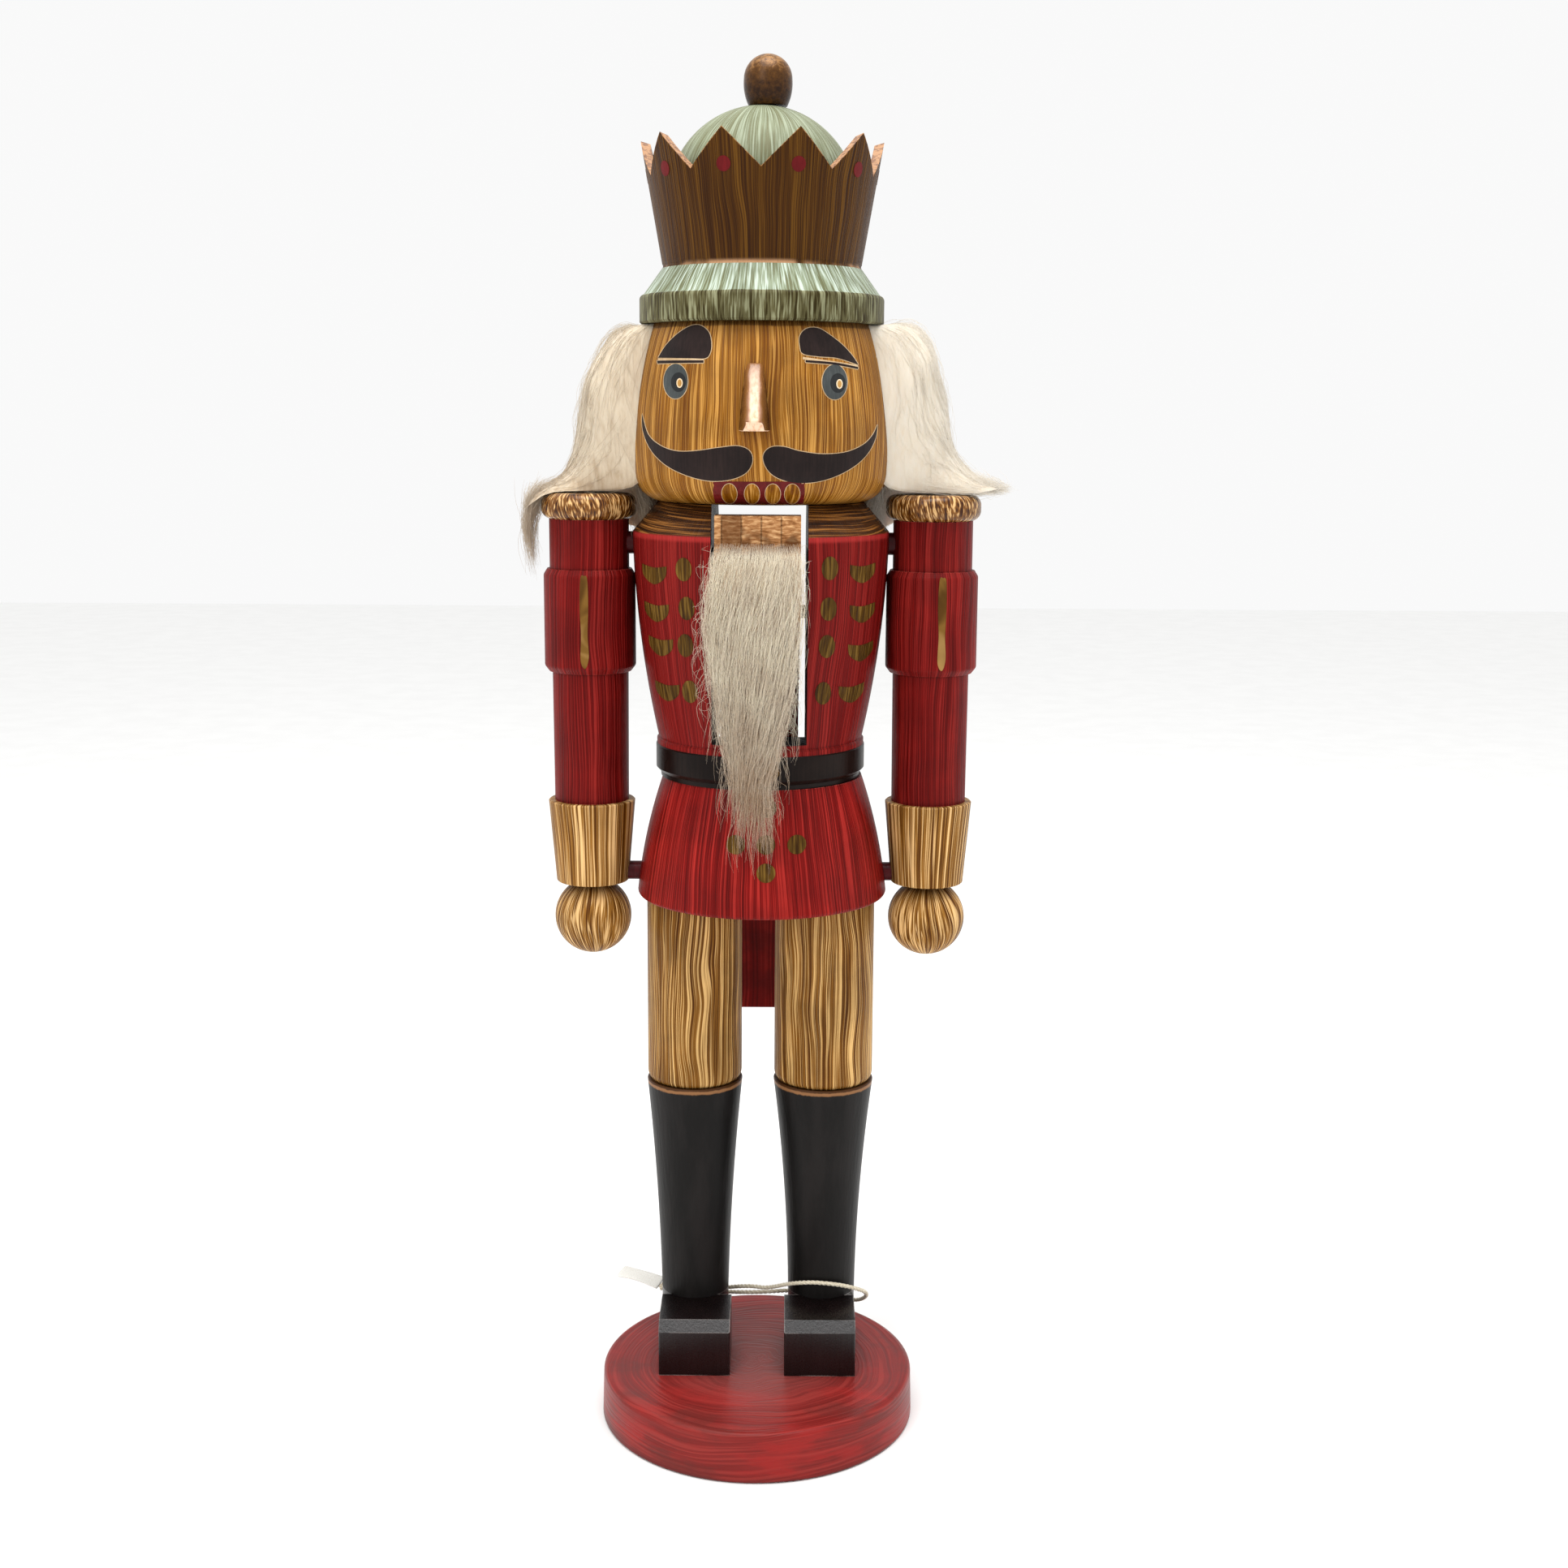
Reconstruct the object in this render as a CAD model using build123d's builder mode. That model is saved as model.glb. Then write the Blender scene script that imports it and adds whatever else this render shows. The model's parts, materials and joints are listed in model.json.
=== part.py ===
"""Nutcracker king: a turned wooden figure on a round base, with a lever that opens its jaw.

Millimetres. The origin is the centre of the base's underside, +Z is up and the figure faces -Y.
Every turned piece is drawn as half a section (radius, height) and turned about its own upright axis.
"""

import os
from math import cos, pi, radians, sin, sqrt, tan

from build123d import *

os.makedirs("parts", exist_ok=True)

# ---------------------------------------------------------------- driving dimensions
body_y = 26.0  # the figure stands behind the middle of its base
leg_x = {"left": -30.0, "right": 30.0}
arm_x = {"left": -76.8, "right": 76.8}
skirt_x = 1.0  # the skirt sits a little off the body's axis
finial_x = 2.3  # so does the finial

base_radius = 72.0
base_height = 23.0

foot_width = 32.7
foot_front = 43.0  # the toe's front face, ahead of the leg's axis
foot_top = 48.5
foot_block_depth = 31.5  # the toe block; behind it the foot is as round as the boot
foot_x = {"left": -28.8, "right": 28.8}
toe_bevel = 4.5

boot_top = 153.0
boot_ankle_radius = 15.8
knee_height = 151.8  # floor of the recess that the thigh stands in
thigh_radius = {"left": 21.9, "right": 22.9}
thigh_rounding = 5.0

hem_height = 242.0
hem_radius = 56.9
skirt_top = 297.3
waist_radius = 45.0
belt_radius = 47.2
belt_top = 312.0

chest_radius = 57.1
shoulder_height = 407.0
collar_top = 420.0
collar_radius = 45.8

slot_width = 41.0
slot_floor = 317.0
pivot_height = 371.0
pin_radius = 3.0
pin_clearance = 0.05
lever_width = 36.5
lever_x = -0.8  # the lever sits a little to one side in its slot
jaw_front = -54.0
jaw_top = 416.0
tail_bottom = 170.5
tail_thickness = 12.0
tooth_gaps = (-16.0, -7.6, 0.8, 9.2)  # grooves between the lower teeth, across the jaw

head_radius = 57.2
head_top = 496.4
head_top_radius = 49.0
hat_radius = 53.5
hat_top = 520.0
crown_tip_height = 574.5
crown_tip_radius = 52.7
crown_valley_height = 558.0
crown_foot_radius = 43.1
crown_wall = 4.0
crown_teeth = 10
crown_floor = 524.0
dome_radius = 41.5
dome_centre = 547.2
finial_radius = 10.45
finial_bottom = 588.4
finial_top = 610.0

epaulette_radius = 21.2
epaulette_bottom = 412.0
epaulette_top = 423.5
cuff_top = 285.0
cuff_bottom = 247.0
hand_radius = 17.5
hand_centre = 230.4
shoulder_dowel_height = 401.5
wrist_dowel_height = 251.5

string_radius = 1.0
tag_thickness = 0.6

SIDES = (("left", -1), ("right", 1))


# ---------------------------------------------------------------- helpers
def save(piece, name):
    """Label a finished piece and write it to its own file."""
    piece.part.label = name
    export_step(piece.part, f"parts/{name}.step")


def upright(x):
    """The vertical section plane of a piece turned about the axis at x: local (radius, height)."""
    return Plane(origin=(x, body_y, 0), x_dir=(1, 0, 0), z_dir=(0, -1, 0))


def turning_axis(x):
    return Axis((x, body_y, 0), (0, 0, 1))


def dowel_pair(places, low, high, radius):
    """Two upright dowels, one at each of two places across the figure."""
    with BuildPart() as pair:
        with BuildSketch(Plane.XY.offset(low)):
            with Locations(*[(x, body_y) for x in places]):
                Circle(radius)
        extrude(amount=high - low)
        chamfer(pair.edges().filter_by(GeomType.CIRCLE), 0.6)
    return pair


def cross_dowel_pair(height, inner, arm_depth, radius):
    """Two level dowels that hold the arms off the body."""
    with BuildPart() as pair:
        for name, side in SIDES:
            outer = abs(arm_x[name]) - arm_depth
            with BuildSketch(Plane.YZ.offset(side * inner)):
                with Locations((body_y, height)):
                    Circle(radius)
            extrude(amount=side * (outer - inner))
    return pair


def middle_dowel(low, high, radius):
    """One upright dowel on the body's axis."""
    with BuildPart() as dowel:
        with BuildSketch(Plane.XY.offset(low)):
            with Locations((0, body_y)):
                Circle(radius)
        extrude(amount=high - low)
        chamfer(dowel.edges().filter_by(GeomType.CIRCLE), 0.6)
    return dowel


# ---------------------------------------------------------------- dowels and screws
dowels = {
    "ankle_dowels": dowel_pair(leg_x.values(), 34.0, 72.0, 5.0),
    "knee_dowels": dowel_pair(leg_x.values(), 128.0, 170.0, 5.0),
    "hip_dowels": dowel_pair(leg_x.values(), 222.0, 262.0, 5.0),
    "waist_dowels": dowel_pair((-33.0, 33.0), 281.0, 330.0, 5.0),
    "neck_dowels": dowel_pair((-33.0, 33.0), 407.0, 436.0, 4.0),
    "cuff_dowels": dowel_pair(arm_x.values(), 270.0, 300.0, 4.0),
    "hand_dowels": dowel_pair(arm_x.values(), 234.0, 262.0, 4.0),
    "epaulette_dowels": dowel_pair(arm_x.values(), 402.0, 419.0, 3.5),
    "shoulder_dowels": cross_dowel_pair(shoulder_dowel_height, 42.0, 5.5, 5.0),
    "wrist_dowels": cross_dowel_pair(wrist_dowel_height, 45.0, 6.0, 4.25),
    "hat_dowel": middle_dowel(482.0, 536.0, 6.0),
    "finial_dowel": middle_dowel(577.0, 600.0, 3.0),
}
for dowel_name, dowel_piece in dowels.items():
    save(dowel_piece, dowel_name)

screw_length = 38.0
screw_radius = 2.0
screw_head_radius = 4.0
screw_head_height = 2.4
screw_places = [(foot_x[name], y) for name, side in SIDES for y in (-6.0, 13.0)]

with BuildPart() as foot_screws:
    with BuildSketch(Plane.XY):
        with Locations(*screw_places):
            Circle(screw_radius)
    extrude(amount=screw_length)
    with Locations(*[(x, y, 0) for x, y in screw_places]):
        Cone(
            bottom_radius=screw_head_radius,
            top_radius=screw_radius,
            height=screw_head_height,
            align=(Align.CENTER, Align.CENTER, Align.MIN),
        )
with BuildPart() as cross_slotted_screws:
    add(foot_screws.part)
    with Locations(*[(x, y, 0) for x, y in screw_places]):
        for turn in (0, 90):
            Box(4.6, 0.9, 2.0, rotation=(0, 0, turn), mode=Mode.SUBTRACT)
save(cross_slotted_screws, "foot_screws")

# ---------------------------------------------------------------- base
with BuildPart() as base:
    Cone(
        bottom_radius=base_radius,
        top_radius=base_radius - 0.6,
        height=base_height,
        align=(Align.CENTER, Align.CENTER, Align.MIN),
    )
    rims = base.edges().filter_by(GeomType.CIRCLE).sort_by(Axis.Z)
    fillet(rims[-1], 2.6)
    fillet(rims[0], 1.4)
    add(foot_screws.part, mode=Mode.SUBTRACT)
save(base, "base")

# ---------------------------------------------------------------- feet, boots and thighs
for name, side in SIDES:
    with BuildPart() as foot:
        with BuildSketch(Plane.XY.offset(base_height)):
            with Locations((foot_x[name], body_y - foot_front)):
                Rectangle(foot_width, foot_block_depth, align=(Align.CENTER, Align.MIN))
            with Locations((leg_x[name], body_y)):
                Circle(boot_ankle_radius)
        extrude(amount=foot_top - base_height)
        toe_edges = foot.edges().filter_by(Axis.X).group_by(Axis.Y)[0]
        chamfer(toe_edges.sort_by(Axis.Z)[-1], toe_bevel)
        fillet(foot.edges().filter_by(Axis.Z).group_by(Axis.Y)[0], 0.8)
        add(foot_screws.part, mode=Mode.SUBTRACT)
        add(dowels["ankle_dowels"].part, mode=Mode.SUBTRACT)
    save(foot, f"{name}_foot")

    rim_radius = thigh_radius[name] + 0.3
    recess_radius = thigh_radius[name] - 1.2
    with BuildPart() as boot:
        with BuildSketch(upright(leg_x[name])):
            with BuildLine():
                shaft = ThreePointArc(
                    (boot_ankle_radius, foot_top),
                    (boot_ankle_radius + 2.2, foot_top + 52.0),
                    (rim_radius, boot_top - 0.6),
                )
                Polyline(
                    shaft @ 1,
                    (rim_radius - 0.3, boot_top),
                    (recess_radius, boot_top),
                    (recess_radius, knee_height),
                    (0, knee_height),
                    (0, foot_top),
                    shaft @ 0,
                )
            make_face()
        revolve(axis=turning_axis(leg_x[name]))
        add(dowels["ankle_dowels"].part, mode=Mode.SUBTRACT)
        add(dowels["knee_dowels"].part, mode=Mode.SUBTRACT)
    save(boot, f"{name}_boot")

    with BuildPart() as thigh:
        with BuildSketch(upright(leg_x[name])):
            with BuildLine():
                Polyline(
                    (thigh_radius[name] - thigh_rounding, knee_height),
                    (0, knee_height),
                    (0, hem_height),
                    (thigh_radius[name], hem_height),
                    (thigh_radius[name], knee_height + thigh_rounding),
                )
                RadiusArc(
                    (thigh_radius[name] - thigh_rounding, knee_height),
                    (thigh_radius[name], knee_height + thigh_rounding),
                    -thigh_rounding,
                )
            make_face()
        revolve(axis=turning_axis(leg_x[name]))
        add(dowels["knee_dowels"].part, mode=Mode.SUBTRACT)
        add(dowels["hip_dowels"].part, mode=Mode.SUBTRACT)
    save(thigh, f"{name}_thigh")

# ---------------------------------------------------------------- the slot and the lever
notch_gap = 0.4  # between the notch's face and the resting tail
tail_inner_top = (41.0, 318.0)
tail_inner_hem = (46.0, hem_height)
tail_lean = (tail_inner_hem[0] - tail_inner_top[0]) / (tail_inner_top[1] - tail_inner_hem[1])
tail_inner_bottom = (
    tail_inner_hem[0] + tail_lean * (hem_height - tail_bottom),
    tail_bottom,
)


def from_axis(*points):
    """Points (distance behind the body's axis, height) in the side plane's own coordinates."""
    return [(body_y + y, z) for y, z in points]


slot_outline = from_axis(
    (-70.0, slot_floor),
    (-20.0, slot_floor),
    (38.0, 303.0),
    (tail_inner_top[0] - notch_gap - tail_lean * (303.0 - tail_inner_top[1]), 303.0),
    (tail_inner_hem[0] - notch_gap + tail_lean * 12.0, hem_height - 12.0),
    (80.0, hem_height - 12.0),
    (80.0, collar_top + 10.0),
    (-70.0, collar_top + 10.0),
)
with BuildPart() as slot_space:
    with BuildSketch(Plane.YZ.offset(-slot_width / 2)):
        with BuildLine():
            Polyline(*slot_outline, close=True)
        make_face()
    extrude(amount=slot_width)

with BuildPart() as pivot_pin:
    pin_length = 104.0
    with BuildSketch(Plane.YZ.offset(-pin_length / 2)):
        with Locations((body_y, pivot_height)):
            Circle(pin_radius)
    extrude(amount=pin_length)
    chamfer(pivot_pin.edges().filter_by(GeomType.CIRCLE), 0.5)
save(pivot_pin, "pivot_pin")
with BuildPart() as pin_hole:
    with BuildSketch(Plane.YZ.offset(-chest_radius)):
        with Locations((body_y, pivot_height)):
            Circle(pin_radius)
    extrude(amount=2 * chest_radius)

with BuildPart() as lever:
    with BuildSketch(Plane.YZ.offset(lever_x - lever_width / 2)):
        with BuildLine():
            outside = Polyline(
                *from_axis(
                    (jaw_front, jaw_top),
                    (jaw_front, 372.0),
                    (-5.0, 352.0),
                    tail_inner_top,
                    tail_inner_hem,
                    tail_inner_bottom,
                    (tail_inner_bottom[0] + tail_thickness, tail_bottom),
                    (tail_inner_hem[0] + tail_thickness, hem_height),
                    (tail_inner_top[0] + tail_thickness + 1.0, 326.0),
                    (48.0, 366.0),
                )
            )
            shoulder = ThreePointArc(
                outside @ 1, (body_y + 39.0, 386.0), (body_y + 20.0, 398.0)
            )
            Polyline(
                shoulder @ 1,
                (body_y - 38.0, 402.0),
                (body_y - 38.0, jaw_top),
                outside @ 0,
            )
        make_face()
    extrude(amount=lever_width)
    tail_end = lever.edges().filter_by(Axis.X).group_by(Axis.Z)[0]
    fillet(tail_end, 1.5)
    with BuildSketch(Plane.XY.offset(jaw_top)):
        for gap in tooth_gaps:
            with Locations((gap, body_y + jaw_front)):
                Rectangle(0.7, 1.2)
    extrude(amount=-15.0, mode=Mode.SUBTRACT)
    with BuildSketch(Plane.YZ.offset(lever_x - lever_width)):
        with Locations((body_y, pivot_height)):
            Circle(pin_radius + pin_clearance)
    extrude(amount=2 * lever_width, mode=Mode.SUBTRACT)
save(lever, "lever")

# ---------------------------------------------------------------- skirt, belt and torso
with BuildPart() as skirt:
    with BuildSketch(upright(skirt_x)):
        with BuildLine():
            flare = ThreePointArc((hem_radius, hem_height + 1.8), (52.9, 269.0), (waist_radius, skirt_top))
            Polyline(
                flare @ 1,
                (0, skirt_top),
                (0, hem_height),
                (hem_radius - 1.8, hem_height),
            )
            RadiusArc((hem_radius - 1.8, hem_height), flare @ 0, -1.8)
        make_face()
    revolve(axis=turning_axis(skirt_x))
    add(slot_space.part, mode=Mode.SUBTRACT)
    add(dowels["hip_dowels"].part, mode=Mode.SUBTRACT)
    add(dowels["waist_dowels"].part, mode=Mode.SUBTRACT)
    add(dowels["wrist_dowels"].part, mode=Mode.SUBTRACT)
save(skirt, "skirt")

with BuildPart() as belt_disc:
    with BuildSketch(upright(0)):
        with BuildLine():
            Polyline(
                (0, skirt_top),
                (waist_radius, skirt_top),
                (waist_radius + 0.2, skirt_top + 2.0),
                (belt_radius, skirt_top + 4.0),
                (belt_radius, belt_top - 0.5),
                (belt_radius - 0.5, belt_top),
                (0, belt_top),
                close=True,
            )
        make_face()
    revolve(axis=turning_axis(0))
with BuildPart() as belt:
    add(belt_disc.part)
    add(slot_space.part, mode=Mode.SUBTRACT)
    add(dowels["waist_dowels"].part, mode=Mode.SUBTRACT)
save(belt, "belt")

with BuildPart() as belt_buckle:
    with BuildSketch(Plane.XZ.offset(-body_y + belt_radius - 2.5)):
        with Locations((0, (skirt_top + belt_top) / 2 + 1.4)):
            Ellipse(9.0, 5.4)
    extrude(amount=4.2)
    fillet(belt_buckle.faces().sort_by(Axis.Y)[0].edges(), 0.8)
    add(belt_disc.part, mode=Mode.SUBTRACT)
save(belt_buckle, "belt_buckle")

with BuildPart() as torso:
    with BuildSketch(upright(0)):
        with BuildLine():
            ledge = Polyline(
                (0, belt_top),
                (belt_radius - 0.4, belt_top),
                (belt_radius - 0.4, belt_top + 2.2),
                (belt_radius - 1.2, belt_top + 3.0),
            )
            belly = ThreePointArc(ledge @ 1, (53.4, 357.0), (chest_radius, 402.0))
            Polyline(
                belly @ 1,
                (chest_radius, shoulder_height),
                (collar_radius, collar_top),
                (0, collar_top),
                (0, belt_top),
            )
        make_face()
    revolve(axis=turning_axis(0))
    add(slot_space.part, mode=Mode.SUBTRACT)
    add(pin_hole.part, mode=Mode.SUBTRACT)
    for joined in ("waist_dowels", "neck_dowels", "shoulder_dowels"):
        add(dowels[joined].part, mode=Mode.SUBTRACT)
save(torso, "torso")

# ---------------------------------------------------------------- head and nose
with BuildPart() as head:
    with BuildSketch(upright(0)):
        with BuildLine():
            cheek = ThreePointArc((54.8, collar_top), (head_radius, 447.0), (head_top_radius, head_top))
            Polyline(cheek @ 1, (0, head_top), (0, collar_top), cheek @ 0)
        make_face()
    revolve(axis=turning_axis(0))
    chin_edge = head.edges().filter_by(GeomType.CIRCLE).sort_by(Axis.Z)[0]
    fillet(chin_edge, 14.0)
with BuildPart() as nose:
    nose_x = -2.2
    with BuildSketch(Plane.XZ.offset(-body_y + 50.0)):
        with BuildLine():
            Polyline(
                (nose_x - 7.0, 450.2),
                (nose_x + 7.0, 450.2),
                (nose_x + 4.2, 479.4),
                (nose_x - 4.2, 479.4),
                close=True,
            )
        make_face()
    extrude(amount=22.0, taper=8.0)
    with BuildSketch(Plane.YZ.offset(-30.0)):
        with BuildLine():
            Polyline(
                *from_axis((-55.0, 479.4), (-71.5, 454.0), (-70.0, 450.2), (-90.0, 450.2), (-90.0, 479.4)),
                close=True,
            )
        make_face()
    extrude(amount=60.0, mode=Mode.SUBTRACT)
    add(head.part, mode=Mode.SUBTRACT)
save(nose, "nose")
with BuildPart() as head_drilled:
    add(head.part)
    add(dowels["neck_dowels"].part, mode=Mode.SUBTRACT)
    add(dowels["hat_dowel"].part, mode=Mode.SUBTRACT)
save(head_drilled, "head")

# ---------------------------------------------------------------- hat
with BuildPart() as hat_rim:
    with BuildSketch(upright(0)):
        with BuildLine():
            Polyline(
                (0, head_top),
                (hat_radius - 0.9, head_top),
                (hat_radius, head_top + 0.9),
                (hat_radius, 507.0),
            )
            brim_top = ThreePointArc(
                (hat_radius, 507.0), (hat_radius - 0.5, 508.2), (hat_radius - 1.7, 508.9)
            )
            Polyline(brim_top @ 1, (crown_foot_radius + 0.6, hat_top), (0, hat_top), (0, head_top))
        make_face()
    revolve(axis=turning_axis(0))
    add(dowels["hat_dowel"].part, mode=Mode.SUBTRACT)
save(hat_rim, "hat_rim")

valley_half_angle = 180.0 / crown_teeth
valley_slope = (crown_tip_height - crown_valley_height) / (crown_tip_radius * tan(radians(valley_half_angle)))
notch_top = crown_tip_height + 8.0
notch_half_width = (notch_top - crown_valley_height) / valley_slope
with BuildPart() as crown_notch:
    with BuildSketch(Plane.XZ.offset(crown_foot_radius - 10.0)):
        with BuildLine():
            Polyline(
                (0, crown_valley_height),
                (notch_half_width, notch_top),
                (-notch_half_width, notch_top),
                close=True,
            )
        make_face()
    extrude(amount=30.0)

with BuildPart() as crown:
    with BuildSketch(upright(0)):
        with BuildLine():
            cove = ThreePointArc(
                (crown_foot_radius + 0.6, hat_top),
                (crown_foot_radius + 0.1, hat_top + 0.8),
                (crown_foot_radius + 0.4, hat_top + 2.0),
            )
            Polyline(
                cove @ 1,
                (crown_tip_radius, crown_tip_height),
                (crown_tip_radius - crown_wall, crown_tip_height),
                (crown_foot_radius - crown_wall + 0.8, crown_floor),
                (0, crown_floor),
                (0, hat_top),
                cove @ 0,
            )
        make_face()
    revolve(axis=turning_axis(0))
    with Locations((0, body_y, 0)):
        with PolarLocations(0, crown_teeth):
            add(crown_notch.part, mode=Mode.SUBTRACT)
    add(dowels["hat_dowel"].part, mode=Mode.SUBTRACT)
save(crown, "crown")

dome_foot_radius = sqrt(dome_radius**2 - (dome_centre - crown_floor) ** 2)
dome_flat_radius = sqrt(dome_radius**2 - (finial_bottom - dome_centre) ** 2)
with BuildPart() as dome:
    with BuildSketch(upright(0)):
        with BuildLine():
            bowl = ThreePointArc(
                (dome_foot_radius, crown_floor),
                (dome_radius, dome_centre),
                (dome_flat_radius, finial_bottom),
            )
            Polyline(bowl @ 1, (0, finial_bottom), (0, crown_floor), bowl @ 0)
        make_face()
    revolve(axis=turning_axis(0))
    add(dowels["hat_dowel"].part, mode=Mode.SUBTRACT)
    add(dowels["finial_dowel"].part, mode=Mode.SUBTRACT)
save(dome, "dome")

finial_flat_radius = 8.3
finial_centre = finial_top - finial_radius
with BuildPart() as finial:
    with BuildSketch(upright(finial_x)):
        with BuildLine():
            crest = RadiusArc((0, finial_top), (finial_radius, finial_centre), finial_radius)
            neck = ThreePointArc(
                crest @ 1,
                (finial_radius - 0.35, finial_centre - 6.0),
                (finial_flat_radius, finial_bottom),
            )
            Polyline(neck @ 1, (0, finial_bottom), (0, finial_top))
        make_face()
    revolve(axis=turning_axis(finial_x))
    add(dowels["finial_dowel"].part, mode=Mode.SUBTRACT)
save(finial, "finial")

# ---------------------------------------------------------------- arms
band_bottom, band_top, band_radius = 344.0, 390.0, 20.5
upper_arm_radius, forearm_radius = 17.75, 17.1
cuff_radius, cuff_end_radius = 19.65, 16.5

for name, side in SIDES:
    with BuildPart() as arm:
        with BuildSketch(upright(arm_x[name])):
            with BuildLine():
                Polyline(
                    (0, cuff_top),
                    (forearm_radius - 0.3, cuff_top),
                    (forearm_radius, band_bottom),
                    (band_radius - 2.0, band_bottom),
                    (band_radius, band_bottom + 2.6),
                    (band_radius, band_top - 2.6),
                    (band_radius - 1.6, band_top),
                    (upper_arm_radius, band_top),
                    (upper_arm_radius, epaulette_bottom),
                    (0, epaulette_bottom),
                    close=True,
                )
            make_face()
        revolve(axis=turning_axis(arm_x[name]))
        band_rims = [
            edge
            for edge in arm.edges().filter_by(GeomType.CIRCLE)
            if abs(edge.radius - band_radius) < 0.01
        ]
        fillet(band_rims, 2.2)
        for joined in ("cuff_dowels", "epaulette_dowels", "shoulder_dowels"):
            add(dowels[joined].part, mode=Mode.SUBTRACT)
    save(arm, f"{name}_arm")

    with BuildPart() as epaulette:
        with BuildSketch(upright(arm_x[name])):
            with BuildLine():
                Polyline(
                    (0, epaulette_bottom),
                    (epaulette_radius, epaulette_bottom),
                    (epaulette_radius, epaulette_top),
                    (0, epaulette_top),
                    close=True,
                )
            make_face()
        revolve(axis=turning_axis(arm_x[name]))
        fillet(epaulette.edges().filter_by(GeomType.CIRCLE), 4.6)
        add(dowels["epaulette_dowels"].part, mode=Mode.SUBTRACT)
    save(epaulette, f"{name}_epaulette")

    with BuildPart() as cuff:
        with BuildSketch(upright(arm_x[name])):
            with BuildLine():
                Polyline(
                    (0, cuff_bottom),
                    (cuff_end_radius - 0.5, cuff_bottom),
                    (cuff_end_radius, cuff_bottom + 0.5),
                    (cuff_radius, cuff_top - 0.5),
                    (cuff_radius - 0.5, cuff_top),
                    (0, cuff_top),
                    close=True,
                )
            make_face()
        revolve(axis=turning_axis(arm_x[name]))
        for joined in ("cuff_dowels", "hand_dowels", "wrist_dowels"):
            add(dowels[joined].part, mode=Mode.SUBTRACT)
    save(cuff, f"{name}_cuff")

    hand_flat_radius = sqrt(hand_radius**2 - (cuff_bottom - hand_centre) ** 2)
    with BuildPart() as hand:
        with BuildSketch(upright(arm_x[name])):
            with BuildLine():
                fist = ThreePointArc(
                    (0, hand_centre - hand_radius),
                    (hand_radius, hand_centre),
                    (hand_flat_radius, cuff_bottom),
                )
                Polyline(fist @ 1, (0, cuff_bottom), fist @ 0)
            make_face()
        revolve(axis=turning_axis(arm_x[name]))
        add(dowels["hand_dowels"].part, mode=Mode.SUBTRACT)
    save(hand, f"{name}_hand")

# ---------------------------------------------------------------- fleece: hair and beard
hair_bottom = epaulette_top + 0.5
back_start = 16.0  # degrees behind the side of the head where the back of the hair begins
with BuildPart() as hair_back:
    start_plane = Plane(
        origin=(0, body_y, 0),
        x_dir=(cos(radians(back_start)), sin(radians(back_start)), 0),
        z_dir=(sin(radians(back_start)), -cos(radians(back_start)), 0),
    )
    with BuildSketch(start_plane):
        with BuildLine():
            Polyline(
                (47.0, head_top - 2.0),
                (56.0, head_top - 2.0),
                (65.0, 476.0),
                (70.0, 448.0),
                (68.0, hair_bottom),
                (48.0, hair_bottom),
                close=True,
            )
        make_face()
    revolve(axis=turning_axis(0), revolution_arc=180.0 - 2 * back_start)
    add(head.part, mode=Mode.SUBTRACT)
save(hair_back, "hair_back")

lock_front, lock_back = -13.0, 15.0  # from the body's axis
for name, side in SIDES:
    with BuildPart() as lock:
        with BuildSketch(Plane.XZ.offset(-body_y - lock_back)):
            with BuildLine():
                Polyline(
                    (side * 42.0, head_top - 2.0),
                    (side * 62.0, head_top - 4.0),
                    (side * 74.0, 474.0),
                    (side * 81.0, 450.0),
                    (side * 87.0, 435.0),
                    (side * 103.0, hair_bottom + 4.0),
                    (side * 104.0, hair_bottom),
                    (side * 46.0, hair_bottom),
                    close=True,
                )
            make_face()
        extrude(amount=lock_back - lock_front)
        add(head.part, mode=Mode.SUBTRACT)
        add(hair_back.part, mode=Mode.SUBTRACT)
    save(lock, f"hair_{name}")

beard_back = chest_radius + 0.6
with BuildPart() as beard:
    with BuildSketch(Plane.XZ.offset(-body_y + beard_back)):
        with BuildLine():
            Polyline(
                (-19.0, 403.0),
                (16.0, 403.0),
                (21.0, 374.0),
                (14.0, 325.0),
                (4.0, 285.0),
                (-2.0, 264.0),
                (-10.0, 288.0),
                (-21.0, 328.0),
                (-26.0, 374.0),
                close=True,
            )
        make_face()
    extrude(amount=11.0)
    with BuildSketch(Plane.XZ.offset(-body_y - jaw_front)):
        with Locations((lever_x, 388.0)):
            Rectangle(lever_width - 2.0, 28.0)
    extrude(amount=beard_back + jaw_front)
save(beard, "beard")

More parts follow.
